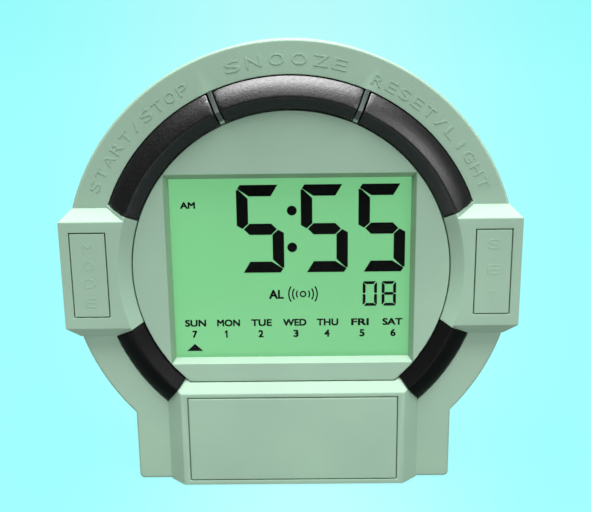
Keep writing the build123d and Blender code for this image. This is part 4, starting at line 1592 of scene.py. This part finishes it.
@dataclass(frozen=True)
class Softbox:
    """A soft rectangular lamp that looks at the clock.

    Attributes:
        name: the lamp's name.
        azimuth: degrees to the right of straight in front.
        elevation: degrees above the table.
        distance: metres from the clock.
        width: metres across.
        height: metres high.
        watts: power of the lamp.
        aim_height: height above the table that it looks at, in metres.
    """

    name: str
    azimuth: float
    elevation: float
    distance: float
    width: float
    height: float
    watts: float
    aim_height: float = 0.055

    def hang(self) -> None:
        """Hangs the lamp so that it looks at the clock, unseen itself."""
        target = Vector((0.0, 0.0, self.aim_height))
        turn, rise = math.radians(self.azimuth), math.radians(self.elevation)
        away = Vector((math.sin(turn) * math.cos(rise), -math.cos(turn) * math.cos(rise),
                       math.sin(rise)))
        bpy.ops.object.light_add(type="AREA", location=target + self.distance * away)
        lamp = bpy.context.active_object
        lamp.name = self.name
        lamp.data.shape = "RECTANGLE"
        lamp.data.size = self.width
        lamp.data.size_y = self.height
        lamp.data.energy = self.watts
        lamp.visible_camera = False
        lamp.rotation_euler = away.to_track_quat("Z", "Y").to_euler()
        LOG.info("%s: %.1f W", self.name, self.watts)


@dataclass
class Studio:
    """Plain floor, soft lamps, pale surroundings and the camera of the photograph.

    Attributes:
        floor_size: side of the floor in metres.
        floor_middle: colour that the floor shows straight ahead, paler as a painted pool of
            light.
        floor_side: colour that it shows at the sides, outside that painted pool of light.
        floor_glow: share of these colours that shows.
        floor_body: colour that takes the shadow where the floor is seen.
        floor_bounce: colour that the floor throws back on the clock.
        floor_roughness: how dull the floor is.
        mirrored_share: share of the floor's shown colour that reflections get.
        side_share: how far aside, as a share of the depth, the side colour is reached.
        beyond: colour that shows beyond the floor.
        sky: strength of the even light from all round.
        eye: place of the camera on the face.
        turn: angles of the camera in degrees.
        focal_length: focal length of its lens.
        sensor: width of its sensor.
        nearest: nearest distance that it sees, in metres.
        farthest: farthest distance that it sees, in metres.
        lamps: the lamps.
    """

    floor_size: float = 12.0
    floor_middle: Colour = (186, 255, 255)
    floor_side: Colour = (154, 255, 255)
    floor_glow: float = 0.97
    floor_body: Colour = (40, 40, 40)
    floor_bounce: Colour = (124, 124, 124)
    floor_roughness: float = 0.9
    mirrored_share: float = 0.1
    side_share: float = 0.33
    beyond: Colour = (200, 255, 255)
    sky: float = 0.06
    eye: tuple[float, float, float] = (3.31622, 60.16977, 218.59685)
    turn: tuple[float, float, float] = (70.4715, 0.7293, 0.3111)
    focal_length: float = 54.4
    sensor: float = 36.0
    nearest: float = 0.01
    farthest: float = 50.0
    lamps: tuple[Softbox, ...] = (
        Softbox("overhead_softbox", azimuth=0, elevation=84, distance=0.9, width=0.8,
                height=0.6, watts=21.5),
        Softbox("upper_strip", azimuth=4, elevation=52, distance=0.9, width=0.4,
                height=0.15, watts=0.85),
        Softbox("right_softbox", azimuth=42, elevation=23, distance=0.7, width=0.28,
                height=0.3, watts=1.2),
        Softbox("low_fill", azimuth=-8, elevation=5, distance=0.09, width=0.3,
                height=0.03, watts=0.042, aim_height=0.01),
        Softbox("rear_fill", azimuth=170, elevation=45, distance=1.0, width=0.9,
                height=0.7, watts=5.0))

    def floor_material(self, face: Face) -> bpy.types.Material:
        """Mixes a floor that shows its own colour to the eye, paler straight ahead as a painted
        pool of light, and still takes a soft shadow.

        Args:
            face: the face whose millimetres the colours are spread in.

        Returns:
            The node material.
        """
        mix = Recipe("pale_floor", face)
        path = mix.add("ShaderNodeLightPath")
        straight = mix.calc("MAXIMUM", path.outputs["Is Camera Ray"],
                            path.outputs["Is Transmission Ray"])
        mirrored = mix.calc("MULTIPLY", path.outputs["Is Glossy Ray"], self.mirrored_share)
        seen = mix.calc("MAXIMUM", straight, mirrored)
        # Painted pool of light: the floor is paler straight ahead of the camera and deeper cyan
        # to the sides.
        x, _, z = mix.axes()
        depth = mix.calc("MULTIPLY", mix.calc("SUBTRACT", z, self.eye[2]), -1.0)
        aside = mix.calc("ABSOLUTE", mix.calc("SUBTRACT", x, self.eye[0]), 0.0)
        share = mix.between(mix.calc("DIVIDE", aside, depth), 0.0, self.side_share)
        tint = mix.ramp(share, [(0.0, self.floor_middle), (1.0, self.floor_side)], Change.SOFT)
        direct = mix.calc("MAXIMUM", straight, path.outputs["Is Glossy Ray"])
        mix.feed("Base Color", mix.blend(direct, self.floor_bounce, self.floor_body))
        mix.surface(Roughness=self.floor_roughness, Specular_IOR_Level=0.0)
        mix.feed("Emission Color", tint)
        mix.feed("Emission Strength", mix.calc("MULTIPLY", seen, self.floor_glow))
        return mix.material

    def lay_floor(self, face: Face) -> None:
        """Lays the floor under the clock.

        Args:
            face: the face whose millimetres its colours are spread in.
        """
        bpy.ops.object.select_all(action="DESELECT")
        bpy.ops.mesh.primitive_plane_add(size=self.floor_size)
        floor = bpy.context.active_object
        floor.name = "studio_floor"
        floor.data.materials.append(self.floor_material(face))

    def light_sky(self) -> None:
        """Lights the scene evenly from all round and shows a pale colour beyond the floor."""
        world = bpy.data.worlds.new("plain_surroundings")
        world.use_nodes = True
        nodes, links = world.node_tree.nodes, world.node_tree.links
        output = next(n for n in nodes if n.type == "OUTPUT_WORLD")
        soft = next(n for n in nodes if n.type == "BACKGROUND")
        soft.inputs["Color"].default_value = (1.0, 1.0, 1.0, 1.0)
        soft.inputs["Strength"].default_value = self.sky
        shown = nodes.new("ShaderNodeBackground")
        shown.inputs["Color"].default_value = linear(self.beyond)
        shown.inputs["Strength"].default_value = self.floor_glow
        path = nodes.new("ShaderNodeLightPath")
        choice = nodes.new("ShaderNodeMixShader")
        links.new(path.outputs["Is Camera Ray"], choice.inputs["Fac"])
        links.new(soft.outputs["Background"], choice.inputs[1])
        links.new(shown.outputs["Background"], choice.inputs[2])
        links.new(choice.outputs["Shader"], output.inputs["Surface"])
        bpy.context.scene.world = world

    def set_camera(self, face: Face) -> None:
        """Sets the camera where the photograph was taken from.

        Args:
            face: the face that its place is given in.
        """
        bpy.ops.object.camera_add(location=face.spot(self.eye),
                                  rotation=[math.radians(angle) for angle in self.turn])
        camera = bpy.context.active_object
        camera.name = "photo_camera"
        camera.data.lens = self.focal_length
        camera.data.sensor_width = self.sensor
        camera.data.clip_start = self.nearest
        camera.data.clip_end = self.farthest
        bpy.context.scene.camera = camera

    def build(self, face: Face) -> None:
        """Sets up the whole studio.

        Args:
            face: the face of the clock that stands in it.
        """
        self.lay_floor(face)
        self.light_sky()
        for lamp in self.lamps:
            lamp.hang()
        self.set_camera(face)
        bpy.context.scene.view_settings.view_transform = "Standard"


def main() -> None:
    """Builds the clock's sub-assemblies in order, then the studio."""
    logging.basicConfig(level=logging.INFO, format="%(name)s %(message)s")
    bpy.ops.object.select_all(action="DESELECT")
    face = Face()
    for assembly in (CaseShells(), PushButtons(), SideKeys(), Display(), Works(), Studio()):
        LOG.info("building %s", type(assembly).__name__)
        assembly.build(face)


if __name__ == "__main__":
    main()
